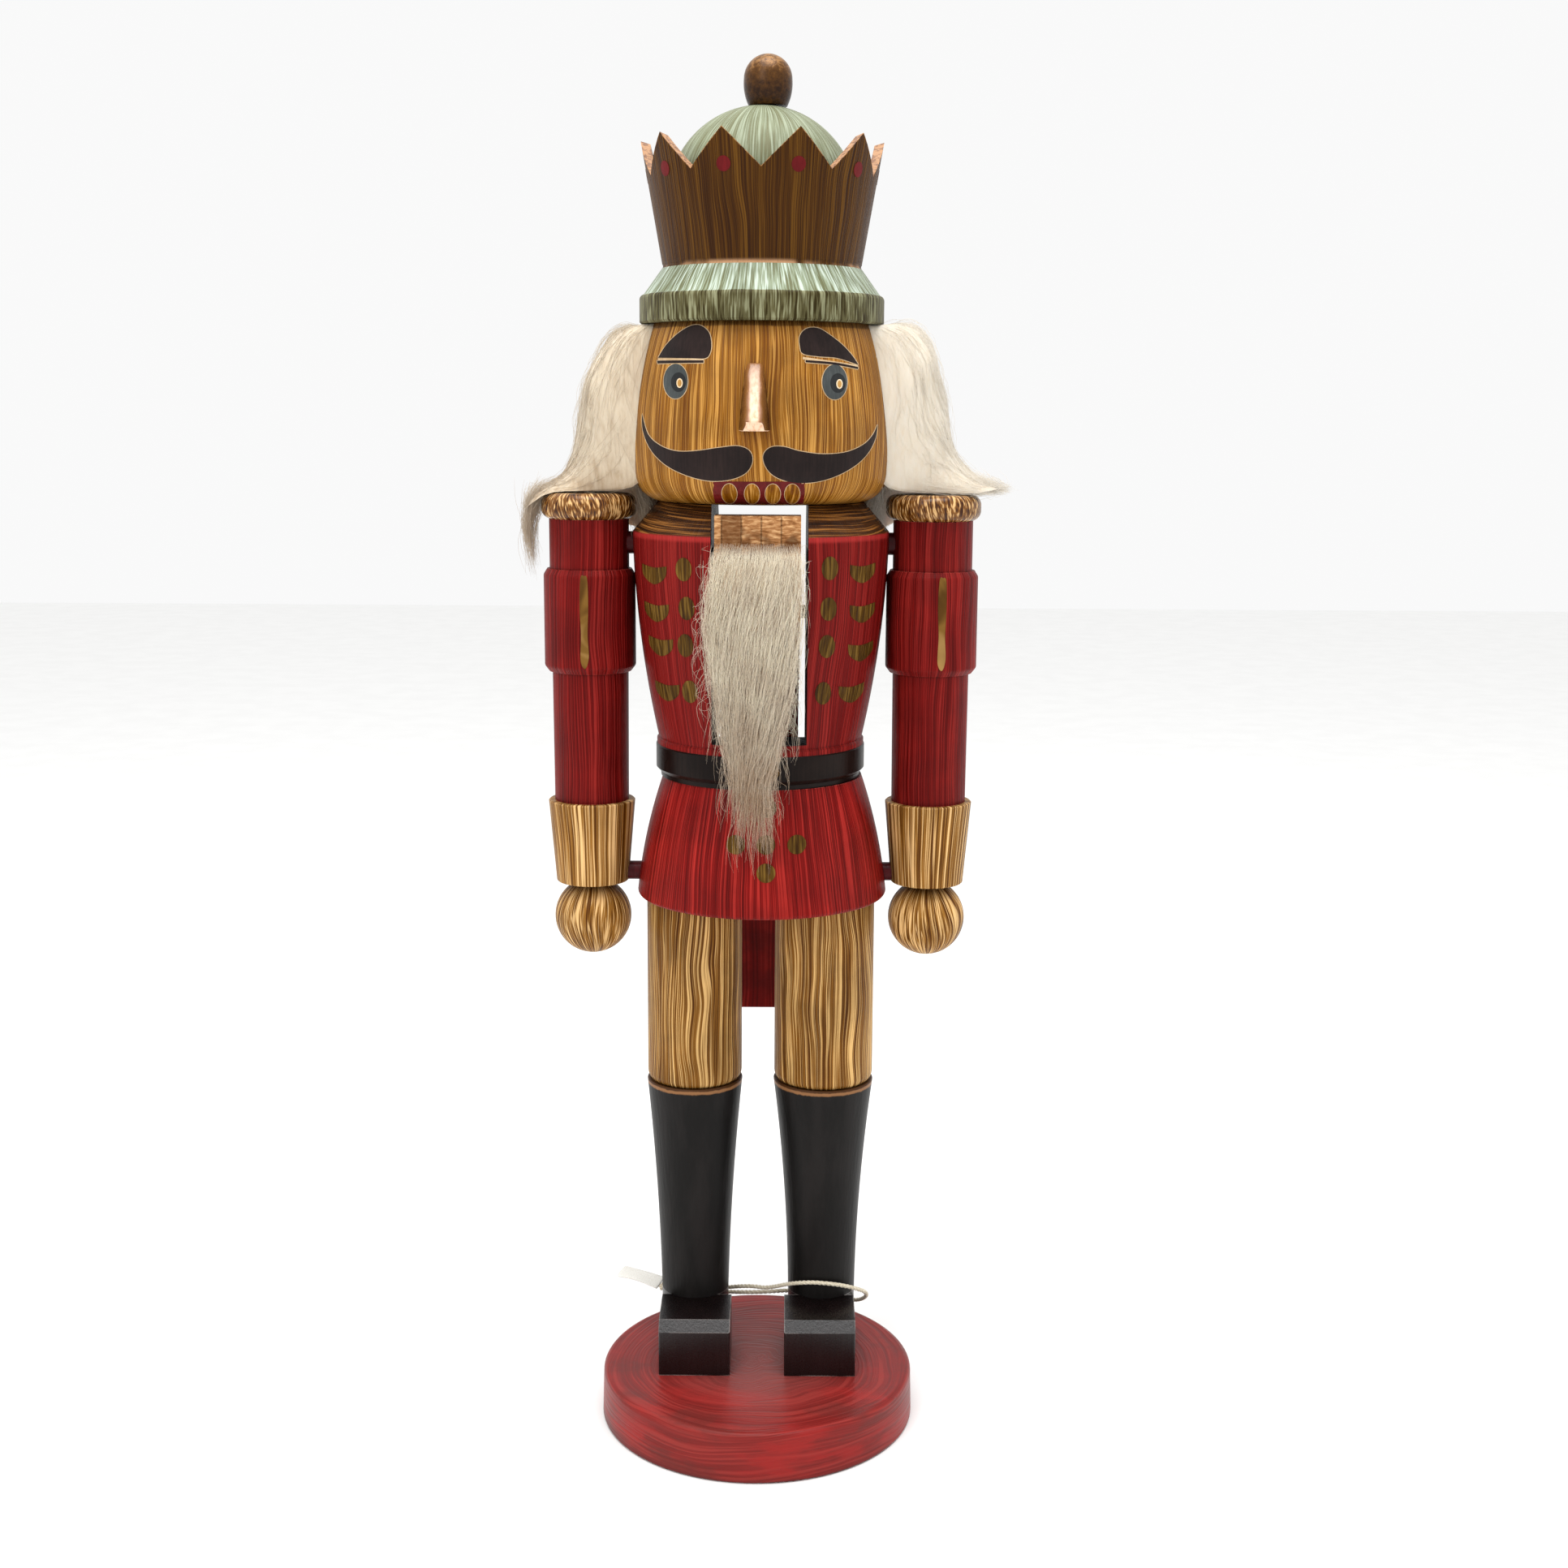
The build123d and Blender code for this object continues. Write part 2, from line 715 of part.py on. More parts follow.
# ---------------------------------------------------------------- swing tag and its string
string_route = [
    (-46.5, 37.5, 43.0),
    (-44.0, 43.5, 40.0),
    (-37.8, 48.0, 37.2),
    (-29.0, 48.2, 36.3),
    (-21.8, 45.0, 37.7),
    (-15.3, 39.0, 40.9),
    (-8.8, 34.0, 43.8),
    (-2.5, 30.0, 45.7),
    (3.0, 26.5, 46.4),
    (8.5, 21.0, 49.7),
    (13.8, 14.5, 53.9),
    (19.5, 9.5, 56.8),
    (26.4, 7.6, 57.9),
    (33.6, 7.6, 57.3),
    (40.5, 9.5, 55.5),
    (46.8, 13.5, 52.1),
    (51.6, 19.5, 47.7),
    (51.8, 28.0, 41.3),
    (47.6, 36.3, 35.7),
    (40.9, 42.6, 33.8),
    (31.9, 45.5, 34.9),
    (21.9, 43.5, 37.0),
    (13.9, 38.5, 39.7),
    (6.1, 34.8, 40.8),
    (-1.8, 35.2, 40.2),
    (-8.9, 38.0, 38.9),
    (-15.3, 42.4, 37.1),
    (-22.7, 48.8, 34.8),
    (-32.0, 51.6, 33.8),
    (-40.0, 49.6, 35.5),
    (-46.2, 44.0, 39.3),
]


def corner_radii(route):
    """The largest arcs that the runs beside each corner leave room for."""
    radii = []
    for before, corner, after in zip(route, route[1:], route[2:]):
        run_in = Vector(*corner) - Vector(*before)
        run_out = Vector(*after) - Vector(*corner)
        shorter = min(run_in.length, run_out.length)
        radii.append(0.45 * shorter / tan(radians(run_in.get_angle(run_out) / 2)))
    return radii


string_radii = corner_radii(string_route)
print("string radii", [round(radius, 1) for radius in string_radii])
with BuildPart() as tag_string:
    with BuildLine() as string_path:
        FilletPolyline(*string_route, radius=string_radii)
    string_wire = string_path.wires()[0]
    with BuildSketch(Plane(origin=string_wire @ 0, z_dir=string_wire % 0)):
        Circle(string_radius)
    sweep()
string_length = string_wire.length
print("string length", round(string_length, 1))
print("volume ratio", round(tag_string.part.volume / (pi * string_radius**2 * string_length), 4))
save(tag_string, "tag_string")

tag_tip = (-68.4, 34.0, 48.4)  # the corner that points away from the figure
tag_length = 21.0
tag_width = 10.0
tag_bow = 0.5
tag_run = Vector(0.935, -0.327, -0.14)
tag_across = Vector(0.33, 0.93, 0.1)
with BuildPart() as hang_tag:
    with BuildSketch(Plane(origin=tag_tip, x_dir=tag_run, z_dir=-tag_across)):
        with BuildLine():
            under = ThreePointArc((0, 0), (tag_length / 2, tag_bow), (tag_length, 0))
            over = ThreePointArc(
                (0, tag_thickness),
                (tag_length / 2, tag_bow + tag_thickness),
                (tag_length, tag_thickness),
            )
            Line(under @ 0, over @ 0)
            Line(under @ 1, over @ 1)
        make_face()
    extrude(amount=-tag_width)
    fillet(hang_tag.edges().sort_by(SortBy.LENGTH)[:4], 1.2)
save(hang_tag, "hang_tag")
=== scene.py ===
"""Looks of the nutcracker king: brushed paint, painted face and coat, fleece, tag string and studio."""

import json
import math

import bmesh
import bpy
import numpy as np
from mathutils import Matrix, Vector, geometry
from mathutils.bvhtree import BVHTree


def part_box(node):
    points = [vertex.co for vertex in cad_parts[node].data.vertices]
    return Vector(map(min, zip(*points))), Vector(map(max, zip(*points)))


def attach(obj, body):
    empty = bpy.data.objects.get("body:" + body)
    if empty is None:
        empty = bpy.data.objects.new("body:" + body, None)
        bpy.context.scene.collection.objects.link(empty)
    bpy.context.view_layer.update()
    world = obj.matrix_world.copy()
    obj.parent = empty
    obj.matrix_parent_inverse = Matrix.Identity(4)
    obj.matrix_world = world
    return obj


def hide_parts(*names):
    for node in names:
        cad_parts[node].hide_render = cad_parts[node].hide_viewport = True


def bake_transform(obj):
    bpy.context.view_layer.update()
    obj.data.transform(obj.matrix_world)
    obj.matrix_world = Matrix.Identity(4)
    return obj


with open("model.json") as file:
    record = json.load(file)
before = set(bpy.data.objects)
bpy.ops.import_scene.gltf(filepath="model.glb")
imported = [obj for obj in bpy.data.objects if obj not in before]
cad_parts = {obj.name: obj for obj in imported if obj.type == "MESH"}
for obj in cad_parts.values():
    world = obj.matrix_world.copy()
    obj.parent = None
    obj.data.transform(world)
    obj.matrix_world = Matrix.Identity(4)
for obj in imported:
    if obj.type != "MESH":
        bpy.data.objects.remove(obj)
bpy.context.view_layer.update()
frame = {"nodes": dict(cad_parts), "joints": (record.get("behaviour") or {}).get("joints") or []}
NODES = frame["nodes"]
HINGE = Vector(frame["joints"][0]["pos_m"])
ROOT, LEVER = "figure", "lever"
MM = 0.001
BODY_Y = HINGE.y  # the body's upright axis stands at (0, BODY_Y)


def middle(node):
    """The middle of a node's box."""
    low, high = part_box(node)
    return (low + high) / 2


def top_of(node):
    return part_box(node)[1].z


def bottom_of(node):
    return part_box(node)[0].z


def srgb(red, green, blue):
    """An 8-bit sRGB colour as a linear RGBA tuple."""
    linear = []
    for value in (red, green, blue):
        value /= 255
        linear.append(value / 12.92 if value <= 0.04045 else ((value + 0.055) / 1.055) ** 2.4)
    return (*linear, 1.0)


# ------------------------------------------------------------------ camera
CAMERA_PLACE = Vector((10.9, -875.0, 457.4)) * MM
CAMERA_PITCH = -10.4  # degrees
CAMERA_ROLL = 0.34
CAMERA_LENS = 46.03  # millimetres on a 36 mm sensor


def make_camera():
    data = bpy.data.cameras.new("camera")
    data.lens = CAMERA_LENS
    data.sensor_width = 36.0
    data.clip_start = 0.01
    camera = bpy.data.objects.new("camera", data)
    bpy.context.scene.collection.objects.link(camera)
    tilt = Matrix.Rotation(math.radians(90 + CAMERA_PITCH), 4, "X")
    roll = Matrix.Rotation(math.radians(CAMERA_ROLL), 4, "Z")
    camera.matrix_world = Matrix.Translation(CAMERA_PLACE) @ tilt @ roll
    bpy.context.scene.camera = camera


# ------------------------------------------------------------------ mesh helpers
def mesh_object(name, verts, faces, material, smooth=True):
    mesh = bpy.data.meshes.new(name)
    mesh.from_pydata([tuple(v) for v in verts], [], [tuple(f) for f in faces])
    mesh.update()
    if smooth:
        mesh.polygons.foreach_set("use_smooth", [True] * len(mesh.polygons))
    mesh.materials.append(material)
    obj = bpy.data.objects.new(name, mesh)
    bpy.context.scene.collection.objects.link(obj)
    return obj


def face_outward(obj):
    """Make every face of a closed mesh look outward."""
    shape = bmesh.new()
    shape.from_mesh(obj.data)
    bmesh.ops.recalc_face_normals(shape, faces=shape.faces)
    shape.to_mesh(obj.data)
    shape.free()


def unit(vectors):
    """The vectors, along the last axis of an array, made one long."""
    return vectors / np.maximum(np.linalg.norm(vectors, axis=-1, keepdims=True), 1e-12)


def tube_sides(rows, ring):
    """The side faces of a tube whose points come row by row, with ring points in each row."""
    faces = []
    for row in range(rows - 1):
        for step in range(ring):
            first, second = row * ring + step, row * ring + (step + 1) % ring
            faces.append((first, second, second + ring, first + ring))
    return faces


def tube_faces(rows, ring):
    """The sides of such a tube and a cap on each end."""
    caps = [tuple(reversed(range(ring))), tuple(range((rows - 1) * ring, rows * ring))]
    return tube_sides(rows, ring) + caps


def smoothstep(low, high, value):
    """0 below low, 1 above high and smooth between; high may be the lower number."""
    share = np.clip((value - low) / (high - low), 0.0, 1.0)
    return share * share * (3 - 2 * share)


def ripple(points, size, seed):
    """Smooth noise in about -1..1 at each point, with features of about the given size."""
    draw = np.random.default_rng(seed)
    total = np.zeros(points.shape[:-1])
    for _ in range(7):
        direction = draw.normal(size=3)
        direction *= draw.uniform(0.7, 1.6) * 2 * math.pi / size / np.linalg.norm(direction)
        total += np.sin(points @ direction + draw.uniform(0, 2 * math.pi))
    return total / 2.6


# ------------------------------------------------------------------ shader helpers
class Shader:
    """A small writer of node materials: every call adds a node and returns its first output."""

    def __init__(self, name):
        self.material = bpy.data.materials.new(name)
        self.material.use_nodes = True
        self.tree = self.material.node_tree
        self.surface = self.tree.nodes["Principled BSDF"]

    def add(self, kind, *inputs, out=0, **settings):
        node = self.tree.nodes.new("ShaderNode" + kind)
        for key, value in settings.items():
            setattr(node, key, value)
        for index, value in enumerate(inputs):
            if value is not None:
                self.put(node.inputs[index], value)
        return node.outputs[out]

    def put(self, socket, value):
        if isinstance(value, bpy.types.NodeSocket):
            self.tree.links.new(value, socket)
        else:
            socket.default_value = value

    def math(self, operation, *inputs):
        return self.add("Math", *inputs, operation=operation)

    def times(self, first, second):
        return self.math("MULTIPLY", first, second)

    def plus(self, first, second):
        return self.math("ADD", first, second)

    def minus(self, first, second):
        return self.math("SUBTRACT", first, second)

    def vector(self, operation, *inputs, out=0):
        return self.add("VectorMath", *inputs, operation=operation, out=out)

    def stretched(self, vector, factors):
        return self.vector("MULTIPLY", vector, factors)

    def scaled(self, vector, factor):
        node = self.tree.nodes.new("ShaderNodeVectorMath")
        node.operation = "SCALE"
        self.put(node.inputs[0], vector)
        self.put(node.inputs["Scale"], factor)
        return node.outputs[0]

    def step(self, value, low, high):
        """0 below low, 1 above high, smooth between; high may be the lower number."""
        node = self.tree.nodes.new("ShaderNodeMapRange")
        node.interpolation_type = "SMOOTHSTEP"
        self.put(node.inputs["Value"], value)
        if low < high:
            ends = (low, high, 0.0, 1.0)
        else:
            ends = (high, low, 1.0, 0.0)
        for key, end in zip(("From Min", "From Max", "To Min", "To Max"), ends):
            node.inputs[key].default_value = end
        return node.outputs[0]

    def noise(self, vector, scale=1.0, detail=3.0, roughness=0.55):
        node = self.tree.nodes.new("ShaderNodeTexNoise")
        self.put(node.inputs["Vector"], vector)
        node.inputs["Scale"].default_value = scale
        node.inputs["Detail"].default_value = detail
        node.inputs["Roughness"].default_value = roughness
        return node.outputs[0]

    def ramp(self, value, stops):
        node = self.tree.nodes.new("ShaderNodeValToRGB")
        self.put(node.inputs[0], value)
        band = node.color_ramp
        while len(band.elements) < len(stops):
            band.elements.new(0.5)
        for element, (place, colour) in zip(band.elements, stops):
            element.position = place
            element.color = colour
        return node.outputs[0]

    def mix(self, factor, first, second, blend="MIX"):
        node = self.tree.nodes.new("ShaderNodeMix")
        node.data_type = "RGBA"
        node.blend_type = blend
        self.put(node.inputs[0], factor)
        self.put(node.inputs[6], first)
        self.put(node.inputs[7], second)
        return node.outputs[2]

    def place(self):
        """The point's place in the row frame, in millimetres."""
        return self.scaled(self.add("TexCoord", out=3), 1000.0)

    def parts(self, vector):
        node = self.tree.nodes.new("ShaderNodeSeparateXYZ")
        self.put(node.inputs[0], vector)
        return node.outputs[0], node.outputs[1], node.outputs[2]

    def bump(self, height, distance):
        node = self.tree.nodes.new("ShaderNodeBump")
        node.inputs["Distance"].default_value = distance
        self.put(node.inputs["Height"], height)
        self.put(self.surface.inputs["Normal"], node.outputs[0])

    def edges(self, radius):
        """1 on edges sharper than the radius can round, 0 on open faces."""
        bevel = self.tree.nodes.new("ShaderNodeBevel")
        bevel.samples = 6
        bevel.inputs["Radius"].default_value = radius
        alike = self.vector("DOT_PRODUCT", bevel.outputs[0], self.normal(), out="Value")
        return self.step(alike, 0.985, 0.90)

    def normal(self):
        return self.add("NewGeometry", out=1)

    def normal_parts(self):
        return self.parts(self.normal())

    def multiplied(self, colour, shade):
        return self.mix(1.0, colour, shade, "MULTIPLY")

    def crease_shaded(self, colour, depth=9.0, strength=0.6):
        """Painted shade: darker where another surface stands close, as in the shadow of creases and joins.
        """
        occlusion = self.tree.nodes.new("ShaderNodeAmbientOcclusion")
        occlusion.samples = 6
        occlusion.inputs["Distance"].default_value = depth * MM
        bare = 1 - strength
        crease_shade = (bare, bare * 0.95, bare * 0.9, 1)
        shade = self.ramp(occlusion.outputs["AO"], [(0.15, crease_shade), (0.85, (1, 1, 1, 1))])
        return self.multiplied(colour, shade)

    def finish(self, colour, roughness, coat=0.0, metallic=0.0, specular=0.5, sheen=0.0):
        self.put(self.surface.inputs["Base Color"], colour)
        self.put(self.surface.inputs["Roughness"], roughness)
        self.surface.inputs["Coat Weight"].default_value = coat
        self.surface.inputs["Coat Roughness"].default_value = 0.25
        self.surface.inputs["Metallic"].default_value = metallic
        self.surface.inputs["Specular IOR Level"].default_value = specular
        self.surface.inputs["Sheen Weight"].default_value = sheen
        return self.material


def off_axis(shader, x, y):
    """How far a point stands from an upright axis, from its X and Y to that axis."""
    return shader.math("SQRT", shader.plus(shader.math("POWER", x, 2.0), shader.math("POWER", y, 2.0)))


def brushed(shader, centre, radius, width=1.3, length=50.0, wander=2.0, mode="down", seed=0):
    """The streaks of a dragged brush round a turned piece: (streaks, bristles, blotches, place).

    streaks and blotches are about 0..1, bristles are thin lines that follow the streaks and place is the
    row frame in millimetres. width and length are a streak's, and wander is how far it sways. In mode "down"
    streaks run along the piece's height and in mode "around" along its girth. seed gives each piece its own.
    """
    place = shader.place()
    x, y, z = shader.parts(shader.vector("SUBTRACT", place, (centre[0] / MM, centre[1] / MM, 0.0)))
    flat = shader.add("CombineXYZ", x, y, 0.0)
    shift = (seed * 13.7, seed * 5.3, seed * 71.9)
    on_circle = shader.scaled(shader.vector("NORMALIZE", flat), radius)
    rx, ry, _ = shader.parts(on_circle)

    def sway(vector):
        wave = shader.noise(shader.vector("ADD", vector, shift), detail=1.5)
        return shader.times(shader.minus(wave, 0.5), wander * 4)

    if mode == "down":
        upright = shader.add("CombineXYZ", 0.0, 0.0, z)
        unrolled = shader.vector("ADD", on_circle, upright)
        share = shader.math("DIVIDE", sway(shader.stretched(unrolled, (0.03, 0.03, 0.016))), radius)
        moved_x = shader.minus(rx, shader.times(ry, share))
        moved_y = shader.plus(ry, shader.times(rx, share))
        moved = shader.add("CombineXYZ", moved_x, moved_y, 0.0)
        bent = shader.vector("ADD", shader.scaled(shader.vector("NORMALIZE", moved), radius), upright)
        grain = (1 / width, 1 / width, 1 / length)
    else:
        across = shader.minus(off_axis(shader, x, y), z)
        unrolled = shader.add("CombineXYZ", across, rx, ry)
        swayed = shader.plus(across, sway(shader.stretched(unrolled, (0.03, 0.016, 0.016))))
        bent = shader.add("CombineXYZ", swayed, rx, ry)
        grain = (1 / width, 1 / length, 1 / length)
    grained = shader.vector("ADD", shader.stretched(bent, grain), shift)
    fine = shader.noise(grained, detail=1.6, roughness=0.45)
    coarse = shader.noise(shader.scaled(grained, 0.33), detail=1.5)
    streaks = shader.plus(shader.times(fine, 0.68), shader.times(coarse, 0.32))
    wave = shader.noise(shader.scaled(grained, 0.3), detail=0.0)
    bristles = shader.step(shader.math("ABSOLUTE", shader.minus(wave, 0.5)), 0.028, 0.004)
    blotches = shader.noise(place, scale=0.05, detail=3.0)
    return shader.step(streaks, 0.37, 0.63), bristles, blotches, place


def palette(shader, streaks, dark, base, light):
    """Streaks in three tones of one paint."""
    return shader.ramp(streaks, [(0.0, dark), (0.38, base), (0.62, base), (1.0, light)])


def brushed_paint(name, centre, radius, colours, zones=(), wear=None, wear_size=0.7, roughness=0.42,
                  coat=0.0, specular=0.1, relief=0.00022, dirt=0.3, threads=0.0, seed=0, **brush):
    """Satin paint dragged with a dry brush.

    zones are (height, softness, colours) painted above a height, wear is the colour laid
    on sharp edges, as worn paint and as a painted highlight where an edge catches light, dirt is how dark
    the blotches are and threads is how strongly the pale bristle lines show.
    """
    shader = Shader(name)
    streaks, bristles, blotches, place = brushed(shader, centre, radius, seed=seed, **brush)
    colour = palette(shader, streaks, *colours)
    if threads:
        colour = shader.mix(shader.times(bristles, threads), colour, colours[2])
    _, _, z = shader.parts(place)
    for height, softness, zone_colours in zones:
        ragged = shader.plus(z, shader.times(shader.minus(blotches, 0.5), softness))
        above = shader.step(ragged, height / MM - softness / 4, height / MM + softness / 4)
        colour = shader.mix(above, colour, palette(shader, streaks, *zone_colours))
    shade = shader.ramp(blotches, [(0.34, (1 - dirt, 1 - dirt, 1 - dirt, 1)), (0.62, (1, 1, 1, 1))])
    # Blotches darken the colour, and painted shade darkens it where another surface stands close.
    colour = shader.crease_shaded(shader.multiplied(colour, shade))
    if wear is not None:
        # Edge colour in patches: worn paint, and on the skirt and the arm bands a painted highlight.
        edge_share = shader.times(shader.edges(wear_size * MM), shader.step(streaks, 0.15, 0.75))
        colour = shader.mix(edge_share, colour, wear)
    rough = shader.plus(roughness - 0.08, shader.times(streaks, 0.16))
    shader.bump(streaks, relief)
    return shader.finish(colour, rough, coat=coat, specular=specular)


def plain_paint(name, dark, light, roughness=0.34, coat=0.0, specular=0.12, wear=None, wear_size=0.8,
                grain=0.6):
    """Satin paint with no brush pattern: slow changes of tone, specks and faint wood grain below it."""
    shader = Shader(name)
    place = shader.place()
    slow = shader.noise(place, scale=0.06, detail=4.0)
    grained = shader.noise(shader.stretched(place, (0.9, 0.9, 0.05)), scale=1.0, detail=3.0)
    tone = shader.plus(shader.times(slow, 0.6), shader.times(grained, 0.4))
    # Painted shade darkens the tone where another surface stands close.
    colour = shader.crease_shaded(shader.mix(shader.step(tone, 0.35, 0.68), dark, light))
    if wear is not None:
        # Edge colour: on the feet a painted reflection along the bevels.
        edge_share = shader.times(shader.edges(wear_size * MM), shader.step(slow, 0.38, 0.55))
        colour = shader.mix(edge_share, colour, wear)
    specks = shader.noise(place, scale=1.6, detail=2.0)
    rough = shader.plus(roughness - 0.05, shader.times(specks, 0.12))
    height = shader.plus(shader.times(grained, grain), shader.times(specks, 0.3))
    shader.bump(height, 0.00012)
    return shader.finish(colour, rough, coat=coat, specular=specular)


# ------------------------------------------------------------------ colours
GOLD = (srgb(84, 44, 2), srgb(152, 104, 42), srgb(240, 196, 134))
THIGH_GOLD = (srgb(76, 38, 0), srgb(132, 86, 28), srgb(230, 186, 120))
GLOSSY_GOLD = (srgb(60, 26, 2), srgb(128, 80, 28), srgb(236, 190, 128))
FACE = (srgb(108, 58, 0), srgb(146, 92, 14), srgb(206, 150, 72))
RED = (srgb(86, 5, 4), srgb(112, 11, 9), srgb(144, 34, 29))
SKIRT_RED = (srgb(92, 4, 3), srgb(126, 12, 9), srgb(168, 40, 34))
BASE_RED = (srgb(112, 27, 24), srgb(126, 32, 29), srgb(144, 45, 40))
PALE_GREEN = (srgb(108, 110, 78), srgb(150, 161, 135), srgb(200, 213, 198))
DOME_GREEN = (srgb(112, 112, 82), srgb(132, 138, 111), srgb(158, 166, 142))
MOSS_GREEN = (srgb(48, 40, 12), srgb(92, 87, 56), srgb(142, 142, 110))
BROWN = (srgb(48, 22, 0), srgb(70, 39, 0), srgb(98, 63, 12))
# Gold-brown collar paint, darkened to hold the head's shadow: partly its own colour, partly painted shade.
COLLAR = (srgb(34, 12, 0), srgb(66, 34, 6), srgb(150, 98, 44))
BRONZE = srgb(190, 138, 90)
BLACK = srgb(8, 6, 6)
OLIVE = (srgb(58, 34, 4), srgb(84, 58, 12), srgb(118, 88, 34))
COPPER_HIGHLIGHT = srgb(250, 212, 180)


# ------------------------------------------------------------------ paint on the turned pieces
def torso_material():
    """Red coat with the gold collar above the shoulder, and black inside the slot."""
    shader = Shader("coat_torso")
    axis = (middle("torso").x, BODY_Y)
    streaks, bristles, _, place = brushed(shader, axis, 55.0, width=0.5, length=90.0, wander=1.6)
    x, _, z = shader.parts(place)
    colour = palette(shader, streaks, *RED)
    colour = shader.mix(shader.times(bristles, 0.6), colour, RED[2])
    shoulder = top_of("torso") / MM - 13.0
    # Painted highlight: a paler red band just below the shoulder's edge.
    bright = shader.times(shader.step(z, shoulder - 3.0, shoulder - 1.2), 0.55)
    colour = shader.mix(bright, colour, srgb(188, 52, 50))
    level, _, _, _ = brushed(shader, (0, BODY_Y), 50.0, width=0.6, length=30.0, wander=3.0, mode="around")
    collar = palette(shader, level, *COLLAR)
    colour = shader.mix(shader.step(z, shoulder - 0.3, shoulder + 0.5), colour, collar)
    slot_half, slot_floor = 20.5, 316.6
    between_walls = shader.step(shader.math("ABSOLUTE", x), slot_half + 0.2, slot_half + 0.05)
    inside = shader.times(between_walls, shader.step(z, slot_floor, slot_floor + 0.3))
    colour = shader.mix(inside, colour, BLACK)
    edge_share = shader.times(shader.edges(0.5 * MM), 0.7)
    colour = shader.mix(edge_share, colour, srgb(60, 20, 16))
    shader.bump(streaks, 0.0002)
    rough = shader.plus(0.36, shader.times(streaks, 0.14))
    # Painted shade darkens the coat where another surface stands close.
    return shader.finish(shader.crease_shaded(colour), rough, specular=0.1)


def lever_material():
    """Dark red lever with bare-wood teeth on the jaw's front and black flanks."""
    shader = Shader("lever_paint")
    streaks, _, blotches, place = brushed(shader, (0, BODY_Y), 55.0, width=1.2, length=90.0)
    x, y, z = shader.parts(place)
    colour = palette(shader, streaks, srgb(90, 6, 5), srgb(114, 12, 10), srgb(140, 30, 25))
    colour = shader.mix(shader.times(shader.step(blotches, 0.60, 0.40), 0.5), colour, srgb(70, 4, 4))
    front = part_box("lever")[0].y / MM
    above_pin = shader.step(z, HINGE.z / MM, HINGE.z / MM + 1.0)
    jaw = shader.times(shader.step(y, front + 14.0, front + 12.0), above_pin)
    grain = shader.noise(shader.stretched(place, (0.25, 0.25, 0.9)), scale=1.0, detail=5.0)
    bare = [(0.3, srgb(112, 64, 24)), (0.5, srgb(176, 124, 78)), (0.7, srgb(232, 186, 134))]
    wood = shader.ramp(grain, bare)
    stained = shader.times(shader.step(x, -16.4, -15.8), shader.step(x, -7.4, -8.0))
    blots = shader.step(shader.noise(place, scale=0.09, detail=2.0), 0.58, 0.70)
    dark_patch = shader.math("MAXIMUM", shader.times(stained, 0.75), blots)
    wood = shader.mix(shader.times(dark_patch, 0.8), wood, srgb(82, 44, 14))
    colour = shader.mix(jaw, colour, wood)
    normal_x, _, _ = shader.normal_parts()
    sideways = shader.step(shader.math("ABSOLUTE", normal_x), 0.6, 0.8)
    flank = shader.times(sideways, shader.step(z, 316.0, 330.0))
    colour = shader.mix(flank, colour, BLACK)
    shader.bump(grain, 0.0002)
    return shader.finish(colour, 0.4, specular=0.1)


def boot_material(node):
    """Satin black boot with a bronze rim."""
    shader = Shader(f"{node}_paint")
    place = shader.place()
    slow = shader.noise(shader.stretched(place, (0.08, 0.08, 0.02)), scale=1.0, detail=4.0)
    colour = shader.mix(shader.step(slow, 0.36, 0.66), srgb(15, 13, 12), srgb(28, 25, 24))
    _, _, z = shader.parts(place)
    ragged = shader.plus(z, shader.times(shader.noise(place, scale=0.35), 1.2))
    top = top_of(node) / MM
    rim = shader.step(ragged, top - 2.2, top - 1.4)
    lip = shader.mix(shader.step(ragged, top - 0.6, top), srgb(140, 98, 62), srgb(70, 42, 18))
    colour = shader.mix(rim, colour, lip)
    shader.bump(shader.noise(shader.stretched(place, (0.7, 0.7, 0.08)), detail=4.0), 0.00016)
    rough = shader.plus(0.36, shader.times(slow, 0.14))
    return shader.finish(colour, rough, specular=0.14)


def crown_material():
    """Brown crown with bronze on its rims, its foot and the inside of its wall."""
    shader = Shader("crown_paint")
    axis = (middle("crown").x, BODY_Y)
    streaks, _, _, place = brushed(shader, axis, 48.0, width=0.5, length=50.0, wander=2.4)
    colour = palette(shader, streaks, *BROWN)
    _, _, z = shader.parts(place)
    rub = shader.step(shader.noise(place, scale=0.5, detail=4.0), 0.42, 0.55)
    slow = shader.step(shader.noise(place, scale=0.06, detail=2.0), 0.38, 0.56)
    bottom = bottom_of("crown") / MM
    foot = shader.step(z, bottom + 2.4, bottom + 0.4)
    colour = shader.mix(shader.times(foot, slow), colour, srgb(176, 134, 98))
    _, _, normal_z = shader.normal_parts()
    toothed = shader.step(z, 540.0, 545.0)
    cut_face = shader.times(shader.step(normal_z, 0.35, 0.5), toothed)
    cut_tone = shader.mix(rub, srgb(138, 104, 84), srgb(182, 140, 106))
    colour = shader.mix(cut_face, colour, cut_tone)
    edge = shader.times(shader.edges(0.6 * MM), toothed)
    colour = shader.mix(shader.times(edge, rub), colour, BRONZE)
    shader.bump(streaks, 0.0002)
    return shader.finish(colour, shader.plus(0.34, shader.times(streaks, 0.12)), specular=0.12)


